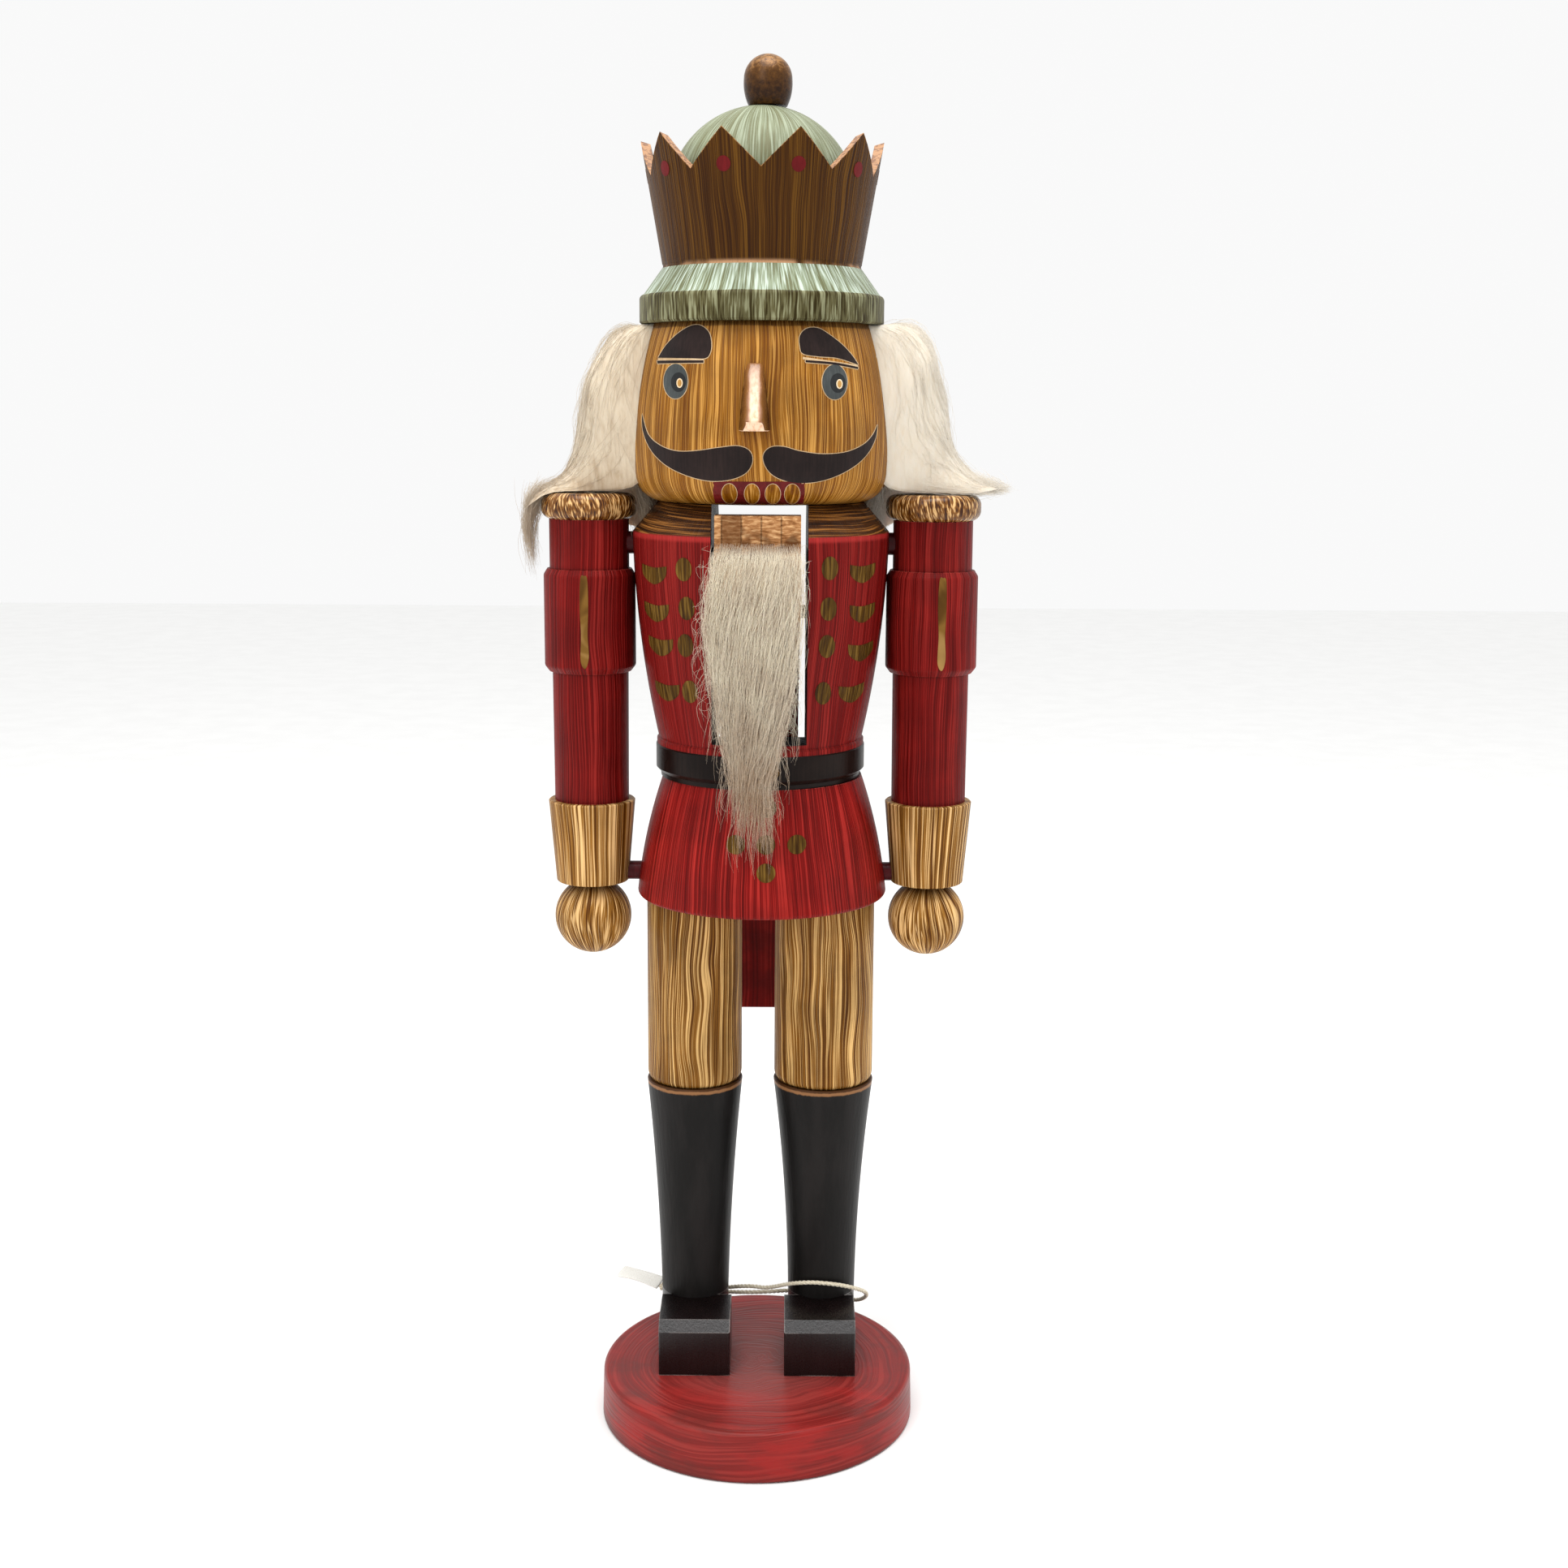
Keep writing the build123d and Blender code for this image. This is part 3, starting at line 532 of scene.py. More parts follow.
def base_material():
    """Dark red disc: broad smears, with faint rings dragged round its top and level streaks on its side."""
    shader = Shader("base_paint")
    streaks, _, _, place = brushed(shader, (0, 0), 60.0, width=1.4, length=60.0, wander=4.0, mode="around")
    colour = palette(shader, streaks, *BASE_RED)
    smear = shader.noise(shader.stretched(place, (0.020, 0.034, 0.09)), detail=4.0, roughness=0.6)
    colour = shader.mix(shader.times(shader.step(smear, 0.50, 0.66), 0.6), colour, srgb(160, 33, 30))
    colour = shader.mix(shader.times(shader.step(smear, 0.48, 0.34), 0.65), colour, srgb(98, 38, 34))
    _, _, normal_z = shader.normal_parts()
    x, y, _ = shader.parts(place)
    dusty = shader.times(shader.step(normal_z, 0.8, 0.95), shader.step(off_axis(shader, x, y), 62.0, 10.0))
    colour = shader.mix(shader.times(dusty, 0.6), colour, srgb(132, 74, 70))
    # A painted highlight along the disc's rounded edges, laid over painted shade where other surfaces stand
    # close.
    edge_share = shader.times(shader.edges(2.2 * MM), 0.45)
    colour = shader.mix(edge_share, shader.crease_shaded(colour, 12.0, 0.5), srgb(184, 84, 82))
    shader.bump(streaks, 0.0001)
    return shader.finish(colour, shader.plus(0.32, shader.times(streaks, 0.10)), specular=0.16)


def finial_material():
    """Dark bronze paint, worn lighter towards the top."""
    shader = Shader("finial_paint")
    place = shader.place()
    rub = shader.noise(place, scale=0.5, detail=5.0, roughness=0.65)
    _, _, z = shader.parts(place)
    height = shader.step(z, bottom_of("finial") / MM + 2, top_of("finial") / MM)
    tone = shader.plus(shader.times(rub, 0.7), shader.times(height, 0.35))
    colour = shader.ramp(tone, [(0.3, srgb(40, 18, 0)), (0.6, srgb(88, 54, 14)), (0.9, srgb(186, 136, 80))])
    shader.bump(rub, 0.0002)
    return shader.finish(colour, 0.32, coat=0.15, metallic=0.15, specular=0.15)


def bare_wood_material(name):
    shader = Shader(name)
    place = shader.place()
    grain = shader.noise(shader.stretched(place, (0.9, 0.9, 0.06)), detail=5.0)
    colour = shader.ramp(grain, [(0.3, srgb(178, 140, 98)), (0.7, srgb(222, 190, 146))])
    shader.bump(grain, 0.0001)
    return shader.finish(colour, 0.6)


def metal_material(name, dark, light, roughness):
    shader = Shader(name)
    rub = shader.noise(shader.place(), scale=0.9, detail=5.0)
    colour = shader.mix(shader.step(rub, 0.35, 0.65), dark, light)
    shader.bump(rub, 0.00006)
    rough = shader.plus(roughness, shader.times(rub, 0.2))
    return shader.finish(colour, rough, metallic=0.9)


def assign(node, material):
    """Give a CAD node's every slot one material."""
    slots = NODES[node].data.materials
    if slots:
        for index in range(len(slots)):
            slots[index] = material
    else:
        slots.append(material)


def turned(node, name, radius, colours, **brush):
    """Brushed paint streaked round a turned piece's own axis."""
    centre = middle(node)
    seed = sum(map(ord, node)) % 29
    assign(node, brushed_paint(name, (centre.x, BODY_Y), radius, colours, seed=seed, **brush))


def paint_turned_pieces():
    for node, material in (("base", base_material), ("torso", torso_material), ("lever", lever_material),
                           ("crown", crown_material), ("finial", finial_material)):
        assign(node, material())
    assign("belt", plain_paint("belt_paint", srgb(14, 6, 4), srgb(28, 18, 14)))
    # The skirt's pale edge line is a painted highlight.
    turned("skirt", "coat_skirt", 52.0, SKIRT_RED, width=0.5, length=90.0, wander=1.8, threads=0.8,
           dirt=0.25, wear=srgb(190, 96, 84), wear_size=0.5)
    turned("belt_buckle", "buckle_paint", 47.0, OLIVE, width=0.9, length=6.0)
    # Painted shadow under the hat: the face's tones at under half strength near the head's top.
    hat_shadow_colours = tuple(tuple(0.45 * value for value in colour[:3]) + (1.0,) for colour in FACE)
    hat_shadow_zone = (top_of("head") - 2.2 * MM, 1.5, hat_shadow_colours)
    turned("head", "face_wood", 55.0, FACE, zones=[hat_shadow_zone], width=0.5, length=45.0, wander=2.2,
           threads=0.7, dirt=0.25, specular=0.18)
    brim_top = bottom_of("crown") - 11.4 * MM
    turned("hat_rim", "hat_rim_paint", 52.0, MOSS_GREEN, zones=[(brim_top, 0.8, PALE_GREEN)], width=0.75,
           length=10.0, wander=2.0, dirt=0.2)
    turned("dome", "dome_paint", 40.0, DOME_GREEN, width=0.9, length=15.0, wander=2.5, dirt=0.15)
    for side in ("left", "right"):
        arm, cuff, hand, pad, thigh, boot, foot = (
            f"{side}_{part}" for part in ("arm", "cuff", "hand", "epaulette", "thigh", "boot", "foot"))
        # The arm bands' pale edges are a painted highlight.
        turned(arm, f"coat_{arm}", 19.0, RED, width=0.5, length=90.0, wander=2.0, threads=0.6, dirt=0.25,
               wear=srgb(168, 62, 54), wear_size=0.6)
        turned(cuff, f"{cuff}_paint", 18.0, GOLD, width=0.55, length=70.0, wander=1.2, threads=0.7,
               dirt=0.15, wear=srgb(214, 176, 122))
        turned(hand, f"{hand}_paint", 14.0, GOLD, width=0.5, length=14.0, wander=4.0, threads=0.8, dirt=0.2)
        turned(pad, f"{pad}_paint", 20.0, GLOSSY_GOLD, width=0.7, length=3.6, wander=7.0, dirt=0.2,
               roughness=0.24, coat=0.35)
        turned(thigh, f"{thigh}_paint", 22.0, THIGH_GOLD, width=0.5, length=80.0, wander=3.2, threads=0.8,
               dirt=0.25)
        assign(boot, boot_material(boot))
        # The feet's pale bevels are a painted reflection.
        assign(foot, plain_paint(f"{foot}_paint", srgb(8, 2, 2), srgb(20, 10, 10), specular=0.45,
                                 roughness=0.28, wear=srgb(130, 122, 118), wear_size=0.9))
    painted_dowels = ("shoulder_dowels", "wrist_dowels")
    for node in painted_dowels:
        assign(node, plain_paint(f"{node}_paint", srgb(64, 12, 16), srgb(100, 22, 28)))
    for node in NODES:
        if node.endswith(("dowels", "dowel")) and node not in painted_dowels:
            assign(node, bare_wood_material(f"{node}_wood"))
    assign("foot_screws", metal_material("screw_zinc", srgb(150, 150, 146), srgb(200, 200, 196), 0.3))
    assign("pivot_pin", metal_material("pin_steel", srgb(30, 26, 24), srgb(56, 50, 46), 0.4))


# ------------------------------------------------------------------ painted shapes laid on a node
def spline_point(before, start, end, after, t):
    """The point at share t between start and end of a smooth line through four points."""
    bend = (2 * before - 5 * start + 4 * end - after) * t * t
    twist = (3 * start - before - 3 * end + after) * t**3
    return 0.5 * (2 * start + (end - before) * t + bend + twist)


def closed_curve(points, steps=10):
    """A smooth closed outline through (x, z) points; a point written (x, z, "corner") stays sharp."""
    count = len(points)
    corners = [len(point) == 3 for point in points]
    flat = [np.array(point[:2], float) for point in points]
    outline = []
    for index in range(count):
        start, end = flat[index], flat[(index + 1) % count]
        before = start if corners[index] else flat[index - 1]
        after = end if corners[(index + 1) % count] else flat[(index + 2) % count]
        for step in range(steps):
            t = step / steps
            outline.append(spline_point(before, start, end, after, t))
    return np.array(outline)


def oval(x, z, half_width, half_height, count=40):
    """An ellipse of count points round (x, z)."""
    turn = np.linspace(0, 2 * math.pi, count, endpoint=False)
    return np.stack([x + half_width * np.cos(turn), z + half_height * np.sin(turn)], 1)


def grown(outline, distance):
    """The outline moved outward by a distance."""
    ahead, behind = np.roll(outline, -1, 0), np.roll(outline, 1, 0)
    along = ahead - behind
    out = np.stack([along[:, 1], -along[:, 0]], 1)
    out /= np.maximum(np.linalg.norm(out, axis=1, keepdims=True), 1e-9)
    area = float((outline[:, 0] * ahead[:, 1] - ahead[:, 0] * outline[:, 1]).sum())
    return outline + out * distance * (1 if area > 0 else -1)


def filled(outline, spacing):
    """Triangles that fill an outline, with points inside it so that they can follow a curved surface."""
    low, high = outline.min(0), outline.max(0)
    polygon = [Vector(point) for point in outline]
    inner = []
    for x in np.arange(low[0] + spacing / 2, high[0], spacing):
        for z in np.arange(low[1] + spacing / 2, high[1], spacing):
            if np.hypot(outline[:, 0] - x, outline[:, 1] - z).min() > spacing * 0.45:
                inner.append(Vector((x, z)))
    edges = [(index, (index + 1) % len(polygon)) for index in range(len(polygon))]
    verts, _, faces, *_ = geometry.delaunay_2d_cdt(polygon + inner, edges, [], 1, 1e-6)
    return np.array([tuple(vert) for vert in verts]), [tuple(face) for face in faces]


SURFACES = {}  # each node's surface, made when it is first asked for


def surface_of(node):
    if node not in SURFACES:
        mesh = NODES[node].data
        faces = [tuple(face.vertices) for face in mesh.polygons]
        SURFACES[node] = BVHTree.FromPolygons([vertex.co for vertex in mesh.vertices], faces)
    return SURFACES[node]


def seen_from_front(node):
    """Places an (x, z) point, in millimetres, on the node's surface as seen along +Y."""
    tree = surface_of(node)

    def place(x, z):
        hit, normal, _, _ = tree.ray_cast(Vector((x * MM, -0.5, z * MM)), Vector((0, 1, 0)))
        return hit, normal

    return place


def seen_round(node, centre, azimuth, radius):
    """Places (girth, height) on the node's surface, in millimetres.

    Girth is 0 at the azimuth, in degrees; azimuth 0 faces -Y and 90 faces +X.
    """
    tree = surface_of(node)

    def place(girth, z):
        angle = math.radians(azimuth) + girth / radius
        out = Vector((math.sin(angle), -math.cos(angle), 0))
        axis = Vector((centre[0], centre[1], z * MM))
        hit, normal, _, _ = tree.ray_cast(axis + out * 0.2, -out)
        return hit, normal

    return place


def painted(name, outline, place, material, body=ROOT, lift=0.16, spacing=1.6):
    """A thin closed layer of paint on a surface."""
    flat, faces = filled(outline, spacing)
    tops, floors = [], []
    for x, z in flat:
        hit, normal = place(x, z)
        if hit is None:
            raise ValueError(f"{name}: nothing at {x:.1f}, {z:.1f}")
        tops.append(hit + normal * lift * MM)
        floors.append(hit - normal * 0.25 * MM)
    count = len(tops)
    uses = {}
    for face in faces:
        for first, second in zip(face, face[1:] + face[:1]):
            uses[(first, second)] = uses.get((first, second), 0) + 1
    walls = []
    for first, second in uses:
        if (second, first) not in uses:
            walls.append((second, first, first + count, second + count))
    under = [tuple(index + count for index in reversed(face)) for face in faces]
    layer = mesh_object(name, tops + floors, list(faces) + under + walls, material, smooth=False)
    face_outward(layer)
    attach(layer, body)
    return layer


def ink_material(name, dark, light, roughness=0.38):
    return plain_paint(name, dark, light, roughness=roughness, coat=0.05, grain=0.2)


def paint_face():
    """Brows, lids, eyes, moustache, mouth and upper teeth; outlines are (x, z) in millimetres."""
    black = ink_material("face_black", srgb(26, 18, 17), srgb(42, 30, 28))
    pale = ink_material("face_outline", srgb(186, 156, 116), srgb(214, 186, 150))
    slate = ink_material("eye_slate", srgb(58, 62, 62), srgb(78, 82, 82))
    deep = ink_material("eye_deep", srgb(34, 35, 36), srgb(44, 46, 47))
    glint = ink_material("eye_glint", srgb(222, 196, 158), srgb(238, 218, 186))
    iris = ink_material("eye_iris", srgb(168, 122, 58), srgb(190, 146, 84))
    red = ink_material("mouth_red", srgb(74, 12, 12), srgb(108, 24, 24))
    tooth = brushed_paint("tooth_wood", (0, BODY_Y), 50.0, FACE, width=0.9, length=8.0, dirt=0.2)
    place = seen_from_front("head")

    outlines = {
        "left_brow": closed_curve([
            (-43.6, 481.4, "corner"), (-39.8, 486.8), (-34.6, 491.4), (-29.4, 494.2), (-25.2, 494.4),
            (-21.6, 491.6), (-20.4, 487.2), (-20.8, 483.2), (-22.8, 480.9), (-28.8, 480.9)]),
        "right_brow": closed_curve([
            (41.2, 478.9, "corner"), (38.2, 483.0), (34.2, 487.0), (29.0, 490.8), (24.0, 493.5),
            (19.2, 493.2), (16.4, 490.2), (16.4, 486.0), (17.8, 482.9), (24.2, 481.9), (32.2, 481.4)]),
        "left_moustache": closed_curve([
            (-51.0, 458.0, "corner"), (-50.4, 450.6), (-46.8, 443.0), (-40.4, 437.0), (-31.4, 432.8),
            (-21.4, 430.6), (-12.4, 431.2), (-5.8, 434.0), (-3.1, 438.6), (-4.2, 443.0), (-9.2, 445.0),
            (-17.4, 444.2), (-26.8, 442.8), (-35.2, 442.6), (-42.4, 444.8), (-48.0, 449.4)]),
        "right_moustache": closed_curve([
            (50.0, 454.0, "corner"), (49.0, 448.0), (45.4, 441.6), (39.4, 436.4), (30.8, 432.2),
            (21.6, 430.1), (12.6, 430.4), (5.8, 433.0), (2.2, 437.2), (1.6, 441.6), (4.6, 444.6),
            (10.0, 444.8), (16.8, 443.0), (26.4, 441.8), (36.2, 442.6), (43.6, 445.6), (47.8, 449.6)]),
        "left_lid": closed_curve([
            (-44.0, 480.2, "corner"), (-23.6, 480.0, "corner"), (-23.6, 479.0, "corner"),
            (-43.8, 479.0, "corner")], steps=8),
        "right_lid": closed_curve([
            (18.8, 480.3, "corner"), (31.2, 479.5), (41.2, 477.9, "corner"), (41.0, 477.1, "corner"),
            (31.2, 478.6), (18.8, 479.4, "corner")], steps=6),
    }
    for name, (x0, z0), (x1, z1) in (("left", (-43.6, 480.9), (-23.6, 480.6)),
                                     ("right", (17.6, 481.6), (41.0, 478.8))):
        strip = closed_curve([(x0, z0, "corner"), (x1, z1, "corner"), (x1, z1 - 1.0, "corner"),
                              (x0, z0 - 1.0, "corner")], steps=8)
        painted(f"{name}_lid_light", strip, place, pale, lift=0.09)
    for name, outline in outlines.items():
        painted(f"{name}_edge", grown(outline, 0.32), place, pale, lift=0.10)
        painted(name, outline, place, black, lift=0.20)

    eye_z = 471.5
    look = 1.9  # how far the pupils look aside
    for side, x in (("left", -35.6), ("right", 31.1)):
        for part, shape, material, lift, spacing in (
                ("eye_edge", oval(x, eye_z, 5.6, 7.5), pale, 0.08, 1.6),
                ("eye", oval(x, eye_z, 5.3, 7.2), slate, 0.17, 1.6),
                ("pupil", oval(x + look - 0.6, eye_z - 0.4, 3.2, 4.0), deep, 0.24, 1.2),
                ("glint", oval(x + look, eye_z - 0.8, 1.35, 2.0, 24), glint, 0.31, 0.9),
                ("iris", oval(x + look, eye_z - 0.8, 0.85, 1.45, 20), iris, 0.38, 0.7)):
            painted(f"{side}_{part}", shape, place, material, lift=lift, spacing=spacing)

    mouth = closed_curve([
        (-19.2, 428.6), (-18.0, 430.2), (-0.4, 430.4), (17.2, 430.4), (18.6, 428.8), (18.8, 425.0),
        (18.2, 420.9, "corner"), (-18.8, 420.9, "corner"), (-19.6, 425.0)], steps=8)
    painted("mouth", mouth, place, red, lift=0.12)
    for index, x in enumerate((-12.7, -3.2, 5.5, 13.6)):
        name = f"upper_tooth_{index}"
        painted(f"{name}_edge", oval(x, 425.3, 3.4, 4.4), place, pale, lift=0.18, spacing=1.2)
        painted(name, oval(x, 425.3, 3.15, 4.15), place, tooth, lift=0.25, spacing=1.2)


def paint_coat():
    """The coat's braid and buttons, the stripes on the arms and the dots on the crown."""
    thread = brushed_paint("frogging_paint", (0, BODY_Y), 55.0, OLIVE, width=1.0, length=12.0,
                           relief=0.0003)
    front = seen_from_front("torso")
    ovals = {"left": ((-32.3, 393.0), (-31.1, 376.4), (-31.8, 360.2), (-30.0, 339.9)),
             "right": ((29.8, 394.0), (29.4, 376.6), (28.9, 360.4), (27.5, 339.8))}
    moons = {"left": ((-45.7, 390.2), (-44.8, 373.8), (-43.0, 358.8), (-40.4, 338.8)),
             "right": ((44.2, 391.4), (44.4, 374.0), (44.0, 356.8), (40.1, 338.6))}
    for side in ("left", "right"):
        for row, (x, z) in enumerate(ovals[side]):
            painted(f"{side}_frog_oval_{row}", oval(x, z, 3.5, 5.0), front, thread, lift=0.14)
        for row, (x, z) in enumerate(moons[side]):
            half_moon = closed_curve([
                (x - 5.8, z + 3.6, "corner"), (x, z + 2.6), (x + 5.8, z + 3.6, "corner"),
                (x + 5.0, z - 1.4), (x, z - 4.6), (x - 5.0, z - 1.4)], steps=8)
            painted(f"{side}_frog_moon_{row}", half_moon, front, thread, lift=0.14)
    skirt = seen_from_front("skirt")
    dots = ((-9.9, 274.4), (3.2, 274.6), (16.6, 274.4), (3.3, 262.6), (3.6, 290.0))
    for index, (x, z) in enumerate(dots):
        painted(f"skirt_dot_{index}", oval(x, z, 4.1, 4.1, 28), skirt, thread, lift=0.14)

    jewel = ink_material("crown_jewel", srgb(88, 10, 14), srgb(112, 18, 22))
    teeth = 10
    dot_height = top_of("crown") / MM - 14.6
    for tooth in range(teeth):
        azimuth = (tooth + 0.5) * 360 / teeth
        place = seen_round("crown", (middle("crown").x, BODY_Y), azimuth, 50.5)
        painted(f"crown_dot_{tooth}", oval(0, dot_height, 3.1, 3.1, 28), place, jewel, lift=0.14)

    gold = (srgb(84, 54, 14), srgb(128, 92, 38), srgb(168, 130, 74))
    stripe = brushed_paint("stripe_gold", (0, BODY_Y), 20.0, gold, width=0.9, length=18.0, relief=0.0003)
    band = closed_curve([
        (-1.4, 386.8), (0.2, 387.8), (1.6, 386.4), (1.9, 374.0), (1.5, 362.0), (1.9, 352.0),
        (0.3, 347.0), (-1.7, 350.5), (-1.4, 362.0), (-1.9, 375.0)], steps=6)
    for side, azimuth in (("left", -2.0), ("right", 9.0)):
        arm = f"{side}_arm"
        for turn in (0.0, 180.0):
            place = seen_round(arm, (middle(arm).x, BODY_Y), azimuth + turn, 20.5)
            painted(f"{side}_stripe_{turn:.0f}", band, place, stripe, lift=0.2)


# ------------------------------------------------------------------ nose
def nose_material():
    """Copper paint with a painted highlight on the ridge, pale on the cut tip, and brown on the flanks,
    darkening to painted shade towards the face.
    """
    shader = Shader("nose_paint")
    place = shader.place()
    rub = shader.noise(shader.stretched(place, (0.7, 0.7, 0.12)), detail=4.0)
    x, _, _ = shader.parts(place)
    _, normal_y, normal_z = shader.normal_parts()
    # The ridge, facing forward, carries the painted highlight.
    ridge = shader.step(normal_y, -0.72, -0.90)
    tip = shader.step(normal_z, -0.25, -0.45)
    off_ridge = shader.math("ABSOLUTE", shader.minus(x, middle("nose").x / MM))
    # Painted shade: the flanks darken away from the ridge, towards the face.
    flank = shader.mix(shader.step(off_ridge, 2.4, 5.6), srgb(136, 88, 44), srgb(60, 28, 4))
    flank = shader.mix(shader.step(rub, 0.56, 0.70), flank, srgb(160, 108, 62))
    bright = shader.mix(shader.step(rub, 0.25, 0.60), srgb(218, 164, 124), COPPER_HIGHLIGHT)
    # A brown band on each side of the ridge narrows the painted highlight.
    shoulder = shader.times(shader.step(off_ridge, 1.1, 2.7), shader.step(tip, 0.6, 0.4))
    bright = shader.mix(shoulder, bright, srgb(142, 90, 52))
    colour = shader.mix(shader.math("MAXIMUM", ridge, tip), flank, bright)
    shader.bump(rub, 0.0002)
    return shader.finish(colour, 0.26, coat=0.3, specular=0.4)


def make_nose():
    """A whittled wedge: flat ridge, steep flanks and a cut tip."""
    low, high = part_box("nose")
    middle_x = middle("nose").x
    tree = surface_of("head")
    # share of the height from the top, then half ridge, half base and reach in millimetres
    stations = np.array([
        (0.0, 2.2, 3.6, 0.8),
        (0.12, 2.7, 4.4, 3.0),
        (0.45, 2.9, 5.4, 8.0),
        (0.86, 3.3, 6.4, 13.6),
        (1.0, 4.6, 6.6, 10.2),
    ])
    shares = np.array([0, 0.06, 0.12, 0.2, 0.3, 0.4, 0.5, 0.6, 0.7, 0.78, 0.84, 0.86, 0.90, 0.95, 1.0])
    verts = []
    for index, share in enumerate(shares):
        ridge, base, reach = (np.interp(share, stations[:, 0], column) * MM for column in stations[:, 1:].T)
        height = high.z + (low.z - high.z) * share
        lean = 0.25 * MM * math.sin(1.7 * index)
        hit, _, _, _ = tree.ray_cast(Vector((middle_x, -0.5, height)), Vector((0, 1, 0)))
        sunk = hit.y + 1.2 * MM
        front = hit.y - reach
        half, halfway = (base + ridge) / 2, (sunk + front) / 2
        for x, y in ((-base, sunk), (-half + lean / 2, halfway), (-ridge + lean, front),
                     (lean, front - 0.25 * MM), (ridge + lean, front), (half + lean / 2, halfway),
                     (base, sunk)):
            verts.append(Vector((middle_x + x, y, height)))
    rows = len(shares)
    columns = len(verts) // rows
    caps = [tuple(range(columns)), tuple(reversed(range((rows - 1) * columns, rows * columns)))]
    nose = mesh_object("whittled_nose", verts, tube_sides(rows, columns) + caps, nose_material())
    face_outward(nose)
    bevel = nose.modifiers.new("soft_edges", "BEVEL")
    bevel.width = 0.0006
    bevel.segments = 3
    bevel.limit_method = "ANGLE"
    bevel.angle_limit = math.radians(28)
    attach(nose, ROOT)
    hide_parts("nose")


# ------------------------------------------------------------------ tag and string
def route_line(route, steps_name):
    """The points of a smooth NURBS line that follows a route."""
    curve = bpy.data.curves.new(steps_name, "CURVE")
    curve.dimensions = "3D"
    curve.resolution_u = 16
    spline = curve.splines.new("NURBS")
    spline.points.add(len(route) - 1)
    for point, place in zip(spline.points, route):
        point.co = (*place, 1.0)
    spline.order_u = 3
    spline.use_endpoint_u = True
    holder = bpy.data.objects.new(steps_name, curve)
    bpy.context.scene.collection.objects.link(holder)
    bpy.context.view_layer.update()
    mesh = bpy.data.meshes.new_from_object(holder.evaluated_get(bpy.context.evaluated_depsgraph_get()))
    line = np.array([tuple(vertex.co) for vertex in mesh.vertices])
    bpy.data.objects.remove(holder)
    bpy.data.meshes.remove(mesh)
    return line


def length_of(line):
    return float(np.linalg.norm(np.diff(line, axis=0), axis=1).sum())


def resampled(line, count):
    """The line as count points, evenly spaced along it."""
    reach = np.concatenate([[0], np.cumsum(np.linalg.norm(np.diff(line, axis=0), axis=1))])
    wanted = np.linspace(0, reach[-1], count)
    return np.stack([np.interp(wanted, reach, column) for column in line.T], 1)


def carried_frames(line):
    """Two crosswise directions at each point of a line, carried along without twist."""
    tangents = unit(np.gradient(line, axis=0))
    side = unit(np.cross(tangents[0], (0, 0, 1.0)))
    sides = []
    for tangent in tangents:
        side = unit(side - tangent * side.dot(tangent))
        sides.append(side)
    sides = np.array(sides)
    return sides, np.cross(tangents, sides)


STRING_RADIUS = 1.0 * MM
STRING_ROUTE = [  # (x, y, z) in millimetres: from the knot, round both boots and back
    (-46.5, 37.5, 43.0), (-44.0, 43.5, 40.0), (-37.8, 48.0, 37.2), (-29.0, 48.2, 36.3),
    (-21.8, 45.0, 37.7), (-15.3, 39.0, 40.9), (-8.8, 34.0, 43.8), (-2.5, 30.0, 45.7),
    (3.0, 26.5, 46.4), (8.5, 21.0, 49.7), (13.8, 14.5, 53.9), (19.5, 9.5, 56.8),
    (26.4, 7.6, 57.9), (33.6, 7.6, 57.3), (40.5, 9.5, 55.5), (46.8, 13.5, 52.1),
    (51.6, 19.5, 47.7), (51.8, 28.0, 41.3), (47.6, 36.3, 35.7), (40.9, 42.6, 33.8),
    (31.9, 45.5, 34.9), (21.9, 43.5, 37.0), (13.9, 38.5, 39.7), (6.1, 34.8, 40.8),
    (-1.8, 35.2, 40.2), (-8.9, 38.0, 38.9), (-15.3, 42.4, 37.1), (-22.7, 48.8, 34.8),
    (-32.0, 51.6, 33.8), (-40.0, 49.6, 35.5), (-46.2, 44.0, 39.3),
]

# the tag: a corner that points away from the figure, the way its length runs and the way its width runs
TAG_TIP = Vector((-68.4, 34.0, 48.4)) * MM
TAG_RUN = Vector((0.935, -0.327, -0.14)).normalized()
TAG_ACROSS = Vector((0.33, 0.93, 0.1)).normalized()
TAG_LENGTH = 21.0 * MM
TAG_WIDTH = 10.0 * MM


def string_material():
    shader = Shader("string_cotton")
    fine = shader.noise(shader.place(), scale=1.6, detail=5.0, roughness=0.7)
    colour = shader.mix(shader.step(fine, 0.35, 0.65), srgb(190, 176, 148), srgb(232, 224, 204))
    shader.bump(fine, 0.0002)
    return shader.finish(colour, 0.9, specular=0.2, sheen=0.3)


def make_string():
    """Cotton string of three strands twisted together, with a knot at the tag."""
    cotton = string_material()
    line = route_line([tuple(value * MM for value in point) for point in STRING_ROUTE], "route")
    spacing = 0.45 * MM
    line = resampled(line, int(round(length_of(line) / spacing)) + 1)
    sides, ups = carried_frames(line)
    ring = 18
    pitch = 6.5 * MM  # the length of string in which its strands go round once
    reach = np.arange(len(line)) * spacing
    turn = np.linspace(0, 2 * math.pi, ring, endpoint=False)
    verts = []
    for place, side, up, along in zip(line, sides, ups, reach):
        lobes = np.abs(np.cos(1.5 * (turn - 2 * math.pi * along / pitch)))
        radius = STRING_RADIUS * (0.62 + 0.38 * lobes)
        verts.extend(place + np.outer(np.cos(turn) * radius, side) + np.outer(np.sin(turn) * radius, up))
    string = mesh_object("twisted_string", verts, tube_faces(len(line), ring), cotton)
    face_outward(string)

    tag = make_tag()
    knot = make_knot(Vector(line[-1]), cotton)
    for piece in (string, knot, tag):
        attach(piece, ROOT)
    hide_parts("tag_string")
    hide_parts("hang_tag")


